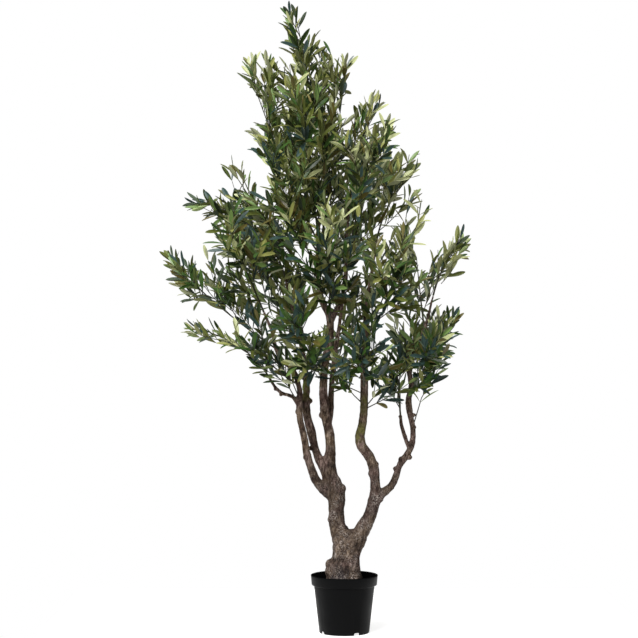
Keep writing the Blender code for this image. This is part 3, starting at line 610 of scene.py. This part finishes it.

# %% [markdown]
# ## The crown's plan
# Each mass of foliage grows from one stem, as in the solids: the limb that carries it, the
# height at which it leaves that limb (None at the tip), where its furthest leaf ends and its
# half width. An outline keeps the crown's shape as the camera sees it. Small round windows
# stay open where the sky shows through. They were read to a centimetre, which is close
# enough, because a leaf is wider than that.

# %% Masses in millimetres
MASS_PLAN = {
    "top_leaves": ("centre_bough", None, (-205, 0, 2488), 180),
    "upper_left_leaves": ("centre_bough", 1540, (-400, -40, 2290), 180),
    "upper_right_leaves": ("centre_bough", 1480, (15, 30, 2305), 185),
    "upper_front_leaves": ("centre_bough", 1560, (-160, -270, 2130), 160),
    "upper_back_leaves": ("centre_bough", 1600, (-190, 290, 2080), 160),
    "left_shoulder_leaves": ("centre_bough", 1360, (-470, -60, 1870), 160),
    "left_high_front_leaves": ("centre_bough", 1420, (-290, -330, 1880), 170),
    "left_high_back_leaves": ("centre_bough", 1500, (-330, 320, 1930), 170),
    "right_crest_leaves": ("upper_right_bough", None, (172, 0, 2122), 150),
    "right_front_high_leaves": ("upper_right_bough", 1480, (110, -340, 1960), 170),
    "right_back_high_leaves": ("upper_right_bough", 1440, (140, 340, 1960), 170),
    "right_shoulder_leaves": ("right_bough", None, (325, 20, 1866), 150),
    "right_middle_leaves": ("right_bough", 1360, (330, -230, 1680), 160),
    "right_front_leaves": ("right_bough", 1140, (190, -410, 1480), 170),
    "low_front_leaves": ("right_bough", 970, (60, -360, 1130), 150),
    "centre_front_leaves": ("centre_bough", 1220, (-60, -430, 1560), 170),
    "low_left_front_leaves": ("centre_bough", 990, (-190, -370, 1270), 150),
    "right_outer_top_leaves": ("right_outer_bough", None, (500, 20, 1610), 150),
    "right_outer_low_leaves": ("right_outer_bough", 1030, (475, -30, 1260), 150),
    "right_low_front_leaves": ("right_outer_bough", 950, (340, -280, 1130), 150),
    "right_low_back_leaves": ("right_outer_bough", 1000, (300, 300, 1200), 150),
    "right_back_leaves": ("right_outer_bough", 1200, (300, 370, 1540), 170),
    "right_spur_leaves": ("right_spur", None, (200, -120, 1140), 140),
    "back_centre_leaves": ("back_bough", None, (-20, 440, 1680), 170),
    "back_low_leaves": ("back_bough", 990, (50, 360, 1360), 160),
    "left_back_leaves": ("inner_left_bough", 1160, (-400, 370, 1560), 170),
    "left_low_back_leaves": ("inner_left_bough", 990, (-180, 320, 1360), 150),
    "left_upper_leaves": ("inner_left_bough", None, (-625, 60, 1740), 170),
    "left_outer_leaves": ("outer_left_bough", 1120, (-712, -80, 1490), 160),
    "left_front_leaves": ("outer_left_bough", None, (-450, -350, 1600), 170),
    "left_bottom_leaves": ("outer_left_bough", 980, (-400, -250, 1170), 150),
    "left_low_shoot": ("left_spur", None, (-640, -60, 1215), 110),
}
MASSES = {
    name: (limb, height and height / 1000, *metres([tip]), width / 1000)
    for name, (limb, height, tip, width) in MASS_PLAN.items()
}
print("masses:", len(MASSES))

# %% Outline as (height, left edge, right edge) in millimetres
CROWN_OUTLINE = metres([
    (890, -200, 320), (930, -250, 340), (980, -290, 340), (1030, -330, 380), (1090, -370, 430),
    (1120, -460, 440), (1160, -610, 430), (1200, -650, 470), (1250, -620, 460), (1280, -610, 460),
    (1340, -670, 420), (1390, -690, 440), (1420, -690, 480), (1500, -730, 510), (1540, -690, 500),
    (1580, -600, 490), (1620, -620, 480), (1650, -640, 400), (1700, -650, 330), (1750, -610, 290),
    (1800, -500, 310), (1870, -470, 320), (1910, -390, 280), (1990, -390, 250), (2040, -360, 220),
    (2080, -330, 180), (2150, -380, 150), (2180, -410, 30), (2240, -430, 50), (2300, -380, 40),
    (2330, -320, -70), (2360, -230, -80), (2400, -240, -120), (2440, -250, -150),
    (2495, -240, -170),
])
print("outline rows:", len(CROWN_OUTLINE))

# %% Windows by radius, each as (x, height) in centimetres
SKY_PLACES = {
    0.032: [(6, 215), (-35, 206), (-34, 183), (-27, 236), (-63, 127), (-57, 126), (42, 133)],
    0.026: [(-37, 188), (-65, 154), (-48, 123), (-13, 122), (31, 150), (32, 146), (36, 163),
            (1, 206), (-60, 162), (-58, 176), (-53, 127), (31, 156)],
    0.020: [(-28, 231), (-13, 240), (-3, 231), (4, 221), (18, 207), (24, 198), (-32, 178),
            (-33, 174), (-51, 178), (-46, 176), (28, 177), (36, 153), (47, 121), (44, 138),
            (25, 194), (24, 100), (24, 96), (38, 136)],
    0.016: [(-22, 227), (1, 211), (13, 203), (-37, 194), (-38, 186), (-57, 147), (-18, 150),
            (-10, 127), (-16, 120), (16, 124), (15, 131), (46, 146), (28, 152), (-1, 96),
            (-58, 158), (-45, 127), (30, 94), (16, 96), (27, 165), (30, 135), (-53, 141),
            (-42, 177), (27, 160), (-38, 212)],
    0.013: [(-18, 220), (-20, 225), (-18, 237), (-34, 222), (11, 200), (-34, 192), (-37, 176),
            (-56, 173), (-54, 167), (22, 171), (24, 166), (22, 174), (29, 182), (27, 190),
            (-51, 155), (-44, 147), (-50, 145), (-33, 136), (-28, 128), (-55, 135),
            (-37, 122), (-4, 128), (-2, 121), (-15, 113), (-22, 119), (-1, 110), (2, 110),
            (16, 117), (20, 109), (12, 158), (28, 141), (35, 129), (21, 99), (27, 100),
            (-24, 175), (-40, 120), (-49, 116), (-35, 104), (25, 119), (-33, 198), (20, 189),
            (24, 185), (2, 201), (-31, 170), (32, 169), (-7, 133), (25, 139), (8, 168)],
}
SKY_WINDOWS = [
    (x / 100, height / 100, radius) for radius, places in SKY_PLACES.items()
    for x, height in places
]
print("windows:", len(SKY_WINDOWS))

# %% [markdown]
# Masses that grew through each other would look like one heap. So each keeps to the places
# that are nearer to its own stem than to another, with a small strip shared. Outline and
# windows are as the camera sees them, so a place is first moved along the line of sight into
# the plane of the trunk and then looked up there.

# %% Each mass keeps to its own space
SHARED = 0.065
LIMB_CLEARANCE = 0.003
BOW_ACROSS, BOW_UP, TIP_BOW = 0.50, 0.40, 0.45
LOW_CORNER = (-0.730, -0.455, 0.880)
HIGH_CORNER = (0.545, 0.495, 2.482)


def start_on_limb(limb, height):
    """Where a stem starts, and its first direction where that is the limb's tip."""
    points, _ = smooth_route(LIMBS[limb], 0.062)
    if height is None:
        way = Vector(points[-1] - points[-2]).normalized()
        return Vector(points[-1]), way
    above = int(np.argmax(points[:, 2] > height))
    low, high = points[above - 1], points[above]
    share = (height - low[2]) / (high[2] - low[2])
    return Vector(low + (high - low) * share), None


def stem_axis(limb, height, tip):
    """A mass's centre line: it leaves its limb outwards and bends up towards its tip."""
    start, way = start_on_limb(limb, height)
    end = Vector(tip)
    span = end - start
    if way is None:
        middle = start + Vector((span.x * BOW_ACROSS, span.y * BOW_ACROSS, span.z * BOW_UP))
    else:
        middle = start + way * span.length * TIP_BOW
    steps = [s / 10 for s in range(11)]
    return [start * (1 - t) ** 2 + middle * 2 * t * (1 - t) + end * t**2 for t in steps]


def distance_to_line(places, line):
    """Shortest distance from each of the places to a line through points."""
    places = np.asarray(places)[:, None, :]
    a, b = line[:-1], line[1:]
    along = b - a
    share = ((places - a) * along).sum(-1) / (along * along).sum(-1)
    nearest = a + np.clip(share, 0, 1)[..., None] * along
    return np.linalg.norm(places - nearest, axis=-1).min(axis=1)


AXES = {name: stem_axis(*spec[:3]) for name, spec in MASSES.items()}
AXIS_LINES = {name: np.array([p[:] for p in axis]) for name, axis in AXES.items()}


def inside_outline(places, inset):
    """Which places the camera sees inside the outline, by an inset, and outside windows."""
    good = (places > np.array(LOW_CORNER) + inset).all(axis=1)
    good &= (places < np.array(HIGH_CORNER) - inset).all(axis=1)
    nearness = CAMERA_PLACE[1] / (CAMERA_PLACE[1] - places[:, 1])
    across = CAMERA_PLACE[0] + (places[:, 0] - CAMERA_PLACE[0]) * nearness
    up = CAMERA_PLACE[2] + (places[:, 2] - CAMERA_PLACE[2]) * nearness
    heights, lefts, rights = np.array(CROWN_OUTLINE).T
    good &= across > np.interp(up, heights, lefts) + inset
    good &= across < np.interp(up, heights, rights) - inset
    for x, z, radius in SKY_WINDOWS:
        good &= np.hypot(across - x, up - z) > radius
    return good


def clear_of_limbs(places):
    """Which places lie outside every limb."""
    good = np.ones(len(places), dtype=bool)
    for points, radii in LIMB_LINES.values():
        nearest = ((places[:, None, :] - points[None]) ** 2).sum(-1)
        slim = radii[nearest.argmin(axis=1)]
        good &= np.sqrt(nearest.min(axis=1)) > slim + LIMB_CLEARANCE
    return good


def in_space(name, places, inset):
    """Which places lie in a mass's space, inside the outline and clear of the limbs."""
    places = np.asarray(places, dtype=float)
    width = MASSES[name][3]
    own = distance_to_line(places, AXIS_LINES[name])
    good = (own < width - inset) & inside_outline(places, inset)
    for other, line in AXIS_LINES.items():
        if other != name:
            share = width / MASSES[other][3]
            good &= own < distance_to_line(places, line) * share + SHARED
    return good & clear_of_limbs(places)


print("stem lengths:", round(sum(float(np.linalg.norm(np.diff(a, axis=0), axis=1).sum())
                                 for a in AXIS_LINES.values()), 2))

# %% [markdown]
# ## Twigs
# A spray of an artificial olive is a green-brown wire with thinner wires twisted onto it, each
# bent upwards by hand. The rule is the solids' own: side twigs turn round the stem by the
# golden angle and lean about 40 degrees. Here every side twig may also carry a finer shoot,
# and all of them lean outwards and curve up towards the light. High up, the masses in front
# and behind carry fewer twigs, because the photo's crown lets more sky through there. A twig
# that would leave its mass's space is drawn in, or tried on another side.

# %% Grow the twigs
GOLDEN_ANGLE = math.radians(137.5)
TWIG_ANGLE = math.radians(40)
TWIG_SPACING = 0.055
FIRST_TWIG, TWIG_SPAN = 0.12, 0.80
SHORTEST_TWIG = 0.070
LONG_TWIG = 0.120
TWIG_INSET = 0.032
TWIG_LIFT = 0.06
TWIG_JOINTS = 5
TRIES = 5
THIN_ABOVE = 1.58
THINNING = 1.4
STEM_WIRE = (0.0040, 0.0016)
TWIG_WIRE = (0.0020, 0.0012)
SHOOT_WIRE = (0.0015, 0.0011)
LOW_WIRE = (0.0024, 0.0013)
LEAF_OUTSET = 0.018
LEAF_LENGTH = 0.084
UP = Vector((0, 0, 1))
CROWN_MIDDLE = Vector((-0.10, 0.0, 0.0))


def along_line(points, share):
    """The place and direction at a share of a line's length."""
    spot = share * (len(points) - 1)
    step = min(int(spot), len(points) - 2)
    way = points[step + 1] - points[step]
    return points[step] + way * (spot - step), way.normalized()


def line_length(points):
    return sum((b - a).length for a, b in zip(points, points[1:]))


def spindle(share):
    """How wide a mass is at a share of its stem: slim at the root, widest past the middle."""
    return math.sin(math.pi * min(1, FIRST_TWIG + TWIG_SPAN * share)) ** 0.7


def bent_twig(root, way, length):
    """A twig's points: it leaves along way and bends upwards."""
    points = [root.copy()]
    heading = way.copy()
    for _ in range(TWIG_JOINTS):
        points.append(points[-1] + heading * length / TWIG_JOINTS)
        heading = (heading + UP * TWIG_LIFT).normalized()
    return points


def fit_twig(name, root, way, length):
    """The longest bent twig from here that stays in the mass's space, or None."""
    while length > SHORTEST_TWIG:
        points = bent_twig(root, way, length)
        last_leaf = points[-1] + (points[-1] - points[-2]).normalized() * LEAF_LENGTH
        inside = in_space(name, [p[:] for p in points[2:]], TWIG_INSET).all()
        if inside and in_space(name, [last_leaf[:]], -LEAF_OUTSET).all():
            return points
        length *= 0.85
    return None


def side_way(way, turn, lean):
    """A direction that leans off another, turned round it."""
    side = Matrix.Rotation(turn, 3, way) @ way.orthogonal().normalized()
    return (way * math.cos(lean) + side * math.sin(lean)).normalized()


def outwards(place, way):
    """A direction bent a little up and away from the crown's middle."""
    away = place - CROWN_MIDDLE
    away.z = 0
    return (way + away * 0.6 + UP * 0.25).normalized()


def grow_mass(name, number):
    """Lines of one mass as (points, thick, thin, leafy from): stem, twigs and shoots."""
    rng = random.Random(number)
    axis, width = AXES[name], MASSES[name][3]
    whole = line_length(axis)
    stem_share = 1 - LEAF_LENGTH * 0.75 / whole
    stem = [along_line(axis, stem_share * s / 10)[0] for s in range(11)]
    lines = [(stem, *STEM_WIRE, 0.50)]
    turn = rng.uniform(0, 2 * math.pi)
    _, depth, height = MASSES[name][2]
    thinning = 1 + THINNING * abs(depth) if height > THIN_ABOVE else 1
    count = max(6, round(whole / TWIG_SPACING / thinning))
    for step in range(count):
        share = FIRST_TWIG + TWIG_SPAN * step / (count - 1)
        root, way = along_line(stem, share)
        reach = width * spindle(share) / math.sin(TWIG_ANGLE) * rng.uniform(0.85, 1.15)
        for _ in range(TRIES):
            turn += GOLDEN_ANGLE + rng.uniform(-0.3, 0.3)
            lean = TWIG_ANGLE * rng.uniform(0.8, 1.2)
            heading = outwards(root, side_way(way, turn, lean))
            twig = fit_twig(name, root, heading, reach)
            if twig:
                lines.append((twig, *TWIG_WIRE, 0.16))
                lines += grow_shoots(name, twig, rng)
                break
    return lines


def grow_shoots(name, twig, rng):
    """A finer shoot or two on the sides of a twig."""
    length = line_length(twig)
    turn = rng.uniform(0, 2 * math.pi)
    shoots = []
    if length < LONG_TWIG:
        return shoots
    for share in (0.25, 0.50):
        root, way = along_line(twig, share)
        turn += math.pi + rng.uniform(-0.7, 0.7)
        lean = math.radians(rng.uniform(32, 50))
        reach = length * rng.uniform(0.60, 0.90)
        shoot = fit_twig(name, root, outwards(root, side_way(way, turn, lean)), reach)
        if shoot:
            shoots.append((shoot, *SHOOT_WIRE, 0.15))
    return shoots


GROWTH = {name: grow_mass(name, number) for number, name in enumerate(MASSES)}
print("twigs and shoots:", sum(len(lines) for lines in GROWTH.values()))

# %% [markdown]
# Below the masses single wires are pushed into the boughs: one stands straight up on the right
# spur, others droop to the sides with few leaves. They are the only twigs whose bare wire can
# be followed with the eye, so each is listed one by one: points from root to tip and the share
# of its length at which leaves begin.

# %% Low wires as (mass, leafy from, points in millimetres)
LOW_WIRES = [
    ("right_spur_leaves", 0.35,
     [(222, 4, 850), (220, -4, 955), (216, -12, 1030), (212, -20, 1110)]),
    ("right_spur_leaves", 0.70,
     [(221, 0, 895), (206, -12, 916), (188, -22, 940)]),
    ("right_low_front_leaves", 0.40,
     [(276, 12, 826), (291, -10, 880), (303, -30, 926), (334, -48, 985), (366, -60, 1036)]),
    ("low_front_leaves", 0.22,
     [(90, -36, 888), (128, -66, 909), (165, -96, 931), (205, -118, 955), (244, -132, 985)]),
    ("low_front_leaves", 0.45,
     [(64, -40, 912), (37, -56, 938), (15, -74, 965), (-6, -92, 1000)]),
    ("low_front_leaves", 0.35,
     [(66, -42, 947), (20, -58, 968), (-30, -76, 992), (-62, -96, 1020)]),
    ("low_front_leaves", 0.30,
     [(94, -34, 905), (112, -52, 928), (118, -62, 965), (121, -68, 1005)]),
    ("left_bottom_leaves", 0.25,
     [(-190, -44, 920), (-222, -56, 977), (-276, -72, 1022), (-322, -88, 1042)]),
    ("left_bottom_leaves", 0.25,
     [(-186, -46, 945), (-206, -72, 995), (-238, -98, 1040), (-280, -120, 1070)]),
    ("low_left_front_leaves", 0.20,
     [(-86, -30, 1070), (-104, -80, 1050), (-128, -126, 1030), (-158, -164, 1020)]),
    ("low_left_front_leaves", 0.20,
     [(-72, -30, 1080), (-52, -86, 1050), (-34, -134, 1022), (-14, -172, 1005)]),
    ("left_low_shoot", 0.40,
     [(-297, -46, 1006), (-307, -50, 1032), (-326, -56, 1066)]),
]
HAND_PLACED = set()
for name, leafy_from, points in LOW_WIRES:
    places = [Vector(p) for p in metres(points)]
    GROWTH[name].append((places, *LOW_WIRE, leafy_from))
    HAND_PLACED.add(tuple(places[0]))
print("low wires:", len(LOW_WIRES))

# %% [markdown]
# ## Leaves
# Olive leaves stand in opposite pairs, each pair turned a quarter from the last. They are
# long ovals, 5.5 to 9.5 cm long, widest past the middle and blunt at the tip, folded a little
# along the midrib and curled back. One leaf starts as a ball with four meridians, so it is
# closed and has an upper face and an underside. Each copy is stretched, folded, curled and
# twisted by its own few numbers, and all copies are joined into one mesh per part of the crown.

# %% Model one leaf
LEAF_ROWS = [
    (0.0, 0.0), (0.07, 0.20), (0.20, 0.50), (0.38, 0.84), (0.56, 1.0),
    (0.74, 0.92), (0.88, 0.64), (0.965, 0.30), (1.0, 0.0),
]


def leaf_template():
    """A ball of eight bands and four meridians: (across, up, along) per vertex, and faces."""
    bm = bmesh.new()
    bands = len(LEAF_ROWS) - 1
    bmesh.ops.create_uvsphere(bm, u_segments=4, v_segments=bands, radius=1)
    for vert in bm.verts:
        row = round(math.acos(max(-1, min(1, -vert.co.z))) / math.pi * bands)
        share, width = LEAF_ROWS[row]
        across = 0.0 if abs(vert.co.x) < 0.01 else math.copysign(width, vert.co.x)
        up = 0.0 if abs(vert.co.y) < 0.01 else math.copysign(width ** 0.5, vert.co.y)
        vert.co = (across, up, share)
    bmesh.ops.recalc_face_normals(bm, faces=bm.faces)
    verts = np.array([v.co[:] for v in bm.verts])
    faces = [[v.index for v in f.verts] for f in bm.faces]
    under = np.array([f.calc_center_median().y < 0 for f in bm.faces])
    bm.free()
    return verts, faces, under


LEAF_VERTS, LEAF_FACES, LEAF_UNDER = leaf_template()
print("faces of one leaf:", len(LEAF_FACES))

# %% Set the leaves on their twigs
LEAF_STEP = 0.0330
FEWEST_LEAVES = 0.38
TIP_FOLDED_IN = (20, 7, 0)
TIP_SIZES = (0.78, 0.92, 1)


def leaves_on(line, rng):
    """Leaves of one twig as rows of root, way, face, length, width, fold, curl and twist."""
    points, _, _, leafy_from = line
    pairs = max(3, round(line_length(points) * (1 - leafy_from) / LEAF_STEP))
    turn = rng.uniform(0, math.pi)
    rows = []
    for step in range(pairs + 1):
        share = leafy_from + (1 - leafy_from) * step / pairs
        root, way = along_line(points, share)
        turn += math.pi / 2 + rng.uniform(-0.35, 0.35)
        left = pairs - step
        for half in (0, 1):
            lean = math.radians(rng.uniform(34, 50) - TIP_FOLDED_IN[min(left, 2)])
            leaf_way = side_way(way, turn + half * math.pi, lean)
            face = (way - leaf_way * way.dot(leaf_way)).normalized()
            face = Matrix.Rotation(rng.gauss(0, 0.4), 3, leaf_way) @ face
            size = LEAF_LENGTH * rng.uniform(0.84, 1.14) * TIP_SIZES[min(left, 2)]
            rows.append((root, leaf_way, face, size, size * rng.uniform(0.200, 0.240),
                         rng.uniform(0.20, 0.55), rng.gauss(0.05, 0.08), rng.gauss(0, 0.18)))
    return rows


def fitting(name, rows, placed):
    """The leaves that stay in the mass's space, or on a placed wire clear of the limbs."""
    spots = [np.array([(r[0] + r[1] * r[3] * share)[:] for r in rows]) for share in (1, 0.65, 0.3)]
    if placed:
        good = clear_of_limbs(spots[0]) & clear_of_limbs(spots[1])
    else:
        good = in_space(name, spots[0], -LEAF_OUTSET) & in_space(name, spots[1], 0)
        good &= inside_outline(spots[2], 0)
    return [row for row, keep in zip(rows, good) if keep]


# %% [markdown]
# Colours are dealt out by spray: most leaves of one shoot share a tone, and a few take a
# neighbouring one. Each tone is an upper face and a paler underside, both plain colours.
# Painted light and shade: high sprays and those on the right get more of the light, yellowish
# tones, and low ones more of the dark, bluish ones.

# %% Tones of green
TONES = [
    ("blue_green", (0.034, 0.066, 0.058), (0.125, 0.165, 0.110)),
    ("deep_green", (0.017, 0.035, 0.005), (0.125, 0.148, 0.036)),
    ("leaf_green", (0.044, 0.098, 0.018), (0.180, 0.240, 0.075)),
    ("moss_green", (0.112, 0.134, 0.026), (0.285, 0.304, 0.115)),
    ("bright_green", (0.140, 0.225, 0.062), (0.320, 0.400, 0.170)),
    ("olive_green", (0.266, 0.278, 0.080), (0.390, 0.410, 0.190)),
    ("light_olive", (0.440, 0.470, 0.230), (0.520, 0.550, 0.340)),
    ("bronze", (0.118, 0.100, 0.024), (0.215, 0.188, 0.068)),
]
BRONZE = len(TONES) - 1
BRONZE_SHARE = 0.05
TONE_SPREAD = 1.5
# Painted light and shade: the tone shares run from the shaded low mix to the lit high mix with height,
# and lighter to the right.
PAINTED_LIGHT_FROM, PAINTED_LIGHT_SPAN, PAINTED_LIGHT_RIGHT = 1.20, 0.80, 0.4
SHADED_LOW_SHARES = (0.14, 0.47, 0.20, 0.12, 0.04, 0.02, 0.01)
LIT_HIGH_SHARES = (0.11, 0.06, 0.08, 0.12, 0.15, 0.23, 0.25)


def deal_tone(place, rng):
    """A tone's number, drawn by the spray's height and side: painted light makes high sprays and those
    on the right lighter, and painted shade makes low ones darker.
    """
    high = min(1, max(0, (place.z - PAINTED_LIGHT_FROM) / PAINTED_LIGHT_SPAN + place.x * PAINTED_LIGHT_RIGHT))
    shares = [a + (b - a) * high for a, b in zip(SHADED_LOW_SHARES, LIT_HIGH_SHARES)]
    return rng.choices(range(len(shares)), shares)[0]


def deal_to_leaves(spray_tone, count, rng):
    """Most leaves keep their spray's tone, a few take a neighbouring one or go bronze."""
    tones = []
    for _ in range(count):
        shifted = spray_tone + round(rng.gauss(0, TONE_SPREAD))
        tones.append(BRONZE if rng.random() < BRONZE_SHARE else min(BRONZE - 1, max(0, shifted)))
    return tones


leaf_looks = []
for name, upper, under in TONES:
    for side, colour, roughness, gloss in (("_upper", upper, 0.36, 0.35), ("_under", under, 0.60, 0.15)):
        look, tree, shader = new_material(name + side, colour, roughness)
        shader.inputs["Specular IOR Level"].default_value = gloss
        add_bump(tree, shader, add_noise(tree, 700, 3), 0.15, 0.0005)
        leaf_looks.append(look)
print("leaf materials:", len(leaf_looks))

# %% Join the leaves of each part of the crown
LEAF_THICKNESS = 0.0004
ZONES = {
    "top": [n for n in MASSES if n.startswith(("top", "upper"))],
    "left": [n for n in MASSES if n.startswith("left")],
    "right": [n for n in MASSES if n.startswith("right")],
    "middle": [n for n in MASSES if n.startswith(("low", "centre", "back"))],
}


def join_leaves(name, rows, tones):
    """One mesh of all the leaves in rows, each face with its tone's material."""
    root, way, face = (np.array([r[i][:] for r in rows]) for i in range(3))
    length, width, fold, curl, twist = (np.array([r[i] for r in rows])[:, None] for i in range(3, 8))
    across, up, share = LEAF_VERTS.T[:, None, :]
    side = np.cross(way, face)
    x = across * width / 2
    y = up * LEAF_THICKNESS + fold * np.abs(across) * width / 2 - curl * length * share**2
    z = share * length
    spin_x = x * np.cos(twist * share) - y * np.sin(twist * share)
    spin_y = x * np.sin(twist * share) + y * np.cos(twist * share)
    places = root[:, None] + side[:, None] * spin_x[..., None] \
        + face[:, None] * spin_y[..., None] + way[:, None] * z[..., None]
    size = len(LEAF_VERTS)
    faces = [[v + size * i for v in f] for i in range(len(rows)) for f in LEAF_FACES]
    mesh = bpy.data.meshes.new(name)
    mesh.from_pydata(places.reshape(-1, 3), [], faces)
    slots = np.array(tones)[:, None] * 2 + LEAF_UNDER[None, :]
    for look in leaf_looks:
        mesh.materials.append(look)
    mesh.polygons.foreach_set("material_index", slots.astype(np.int32).ravel())
    mesh.shade_smooth()
    mesh.set_sharp_from_angle(angle=math.radians(14))
    obj = bpy.data.objects.new(name, mesh)
    bpy.context.scene.collection.objects.link(obj)
    return obj


rng = random.Random(11)
leaf_count = 0
for zone, names in ZONES.items():
    rows, tones = [], []
    for name in names:
        for line in list(GROWTH[name]):
            placed = tuple(line[0][0]) in HAND_PLACED
            grown = leaves_on(line, rng)
            kept = fitting(name, grown, placed)
            few = len(kept) < len(grown) * FEWEST_LEAVES
            if few and not placed and line is not GROWTH[name][0]:
                GROWTH[name].remove(line)
                continue
            rows += kept
            tones += deal_to_leaves(deal_tone(line[0][-1], rng), len(kept), rng)
    leaves = join_leaves("leaves_" + zone, rows, tones)
    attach(leaves, "root")
    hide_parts(*names)
    leaf_count += len(rows)
    print(leaves.name, "leaves:", len(rows), "triangles:", count_triangles(leaves))
print("leaves in all:", leaf_count)

# %% Join the twigs
twig_look, tree, shader = new_material("green_brown_wire", (0.040, 0.040, 0.018), 0.6)


def join_twigs(name, lines):
    """One mesh of round bevelled curves, thick at the root and thin at the tip."""
    curve = bpy.data.curves.new(name, "CURVE")
    curve.dimensions = "3D"
    curve.bevel_depth = 1
    curve.bevel_resolution = 1
    curve.use_fill_caps = True
    for points, thick, thin, _ in lines:
        spline = curve.splines.new("POLY")
        spline.points.add(len(points) - 1)
        for step, (spot, place) in enumerate(zip(spline.points, points)):
            spot.co = (*place, 1)
            spot.radius = thick + (thin - thick) * step / (len(points) - 1)
    carrier = bpy.data.objects.new(name, curve)
    mesh = bpy.data.meshes.new_from_object(carrier)
    bpy.data.objects.remove(carrier)
    mesh.materials.clear()
    mesh.materials.append(twig_look)
    mesh.shade_smooth()
    obj = bpy.data.objects.new(name, mesh)
    bpy.context.scene.collection.objects.link(obj)
    return obj


for zone, names in ZONES.items():
    twigs = join_twigs("twigs_" + zone, [line for n in names for line in GROWTH[n]])
    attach(twigs, "root")
    print(twigs.name, "triangles:", count_triangles(twigs))

# %% [markdown]
# ## The studio
# The photo was taken on white, in wide soft light from the front and a little to the left.
# Three broad suns give that light: one from the front left, a weak one from the right and one
# from above. The pale floor glows a little, so it runs into the white surround with no edge
# and shows only a faint shadow. The surround is bright where it is seen but lights the tree
# only gently, which keeps the inside of the crown dark.

# %% Floor and lights
FLOOR_REACH = 1.2
bm = bmesh.new()
bmesh.ops.create_grid(bm, x_segments=1, y_segments=1, size=FLOOR_REACH)
floor_look, tree, shader = new_material("pale_floor", (0.45, 0.45, 0.45), 1.0)
shader.inputs["Emission Color"].default_value = (1, 1, 1, 1)
shader.inputs["Emission Strength"].default_value = 0.80
floor = to_object(bm, "floor", floor_look, smooth=False)

world = bpy.data.worlds.new("studio")
world.use_nodes = True
tree = world.node_tree
seen = tree.nodes["Background"]
seen.inputs["Color"].default_value = (1, 1, 1, 1)
seen.inputs["Strength"].default_value = 1.0
lighting = tree.nodes.new("ShaderNodeBackground")
lighting.inputs["Color"].default_value = (1, 0.96, 0.86, 1)
lighting.inputs["Strength"].default_value = 0.15
path = tree.nodes.new("ShaderNodeLightPath")
either = tree.nodes.new("ShaderNodeMixShader")
tree.links.new(path.outputs["Is Camera Ray"], either.inputs["Fac"])
tree.links.new(lighting.outputs["Background"], either.inputs[1])
tree.links.new(seen.outputs["Background"], either.inputs[2])
tree.links.new(either.outputs["Shader"], tree.nodes["World Output"].inputs["Surface"])
bpy.context.scene.world = world
bpy.context.scene.view_settings.view_transform = "Standard"


def add_sun(name, azimuth, elevation, strength, spread):
    """A soft sun that shines from an azimuth (0 is the camera's side) and an elevation."""
    data = bpy.data.lights.new(name, "SUN")
    data.energy = strength
    data.angle = math.radians(spread)
    light = bpy.data.objects.new(name, data)
    light.rotation_euler = (math.radians(90 - elevation), 0, math.radians(azimuth))
    bpy.context.scene.collection.objects.link(light)


add_sun("key", -30, 42, 3.60, 32)
add_sun("fill", 45, 30, 0.55, 60)
add_sun("top", -40, 75, 1.80, 50)
print("studio lit")
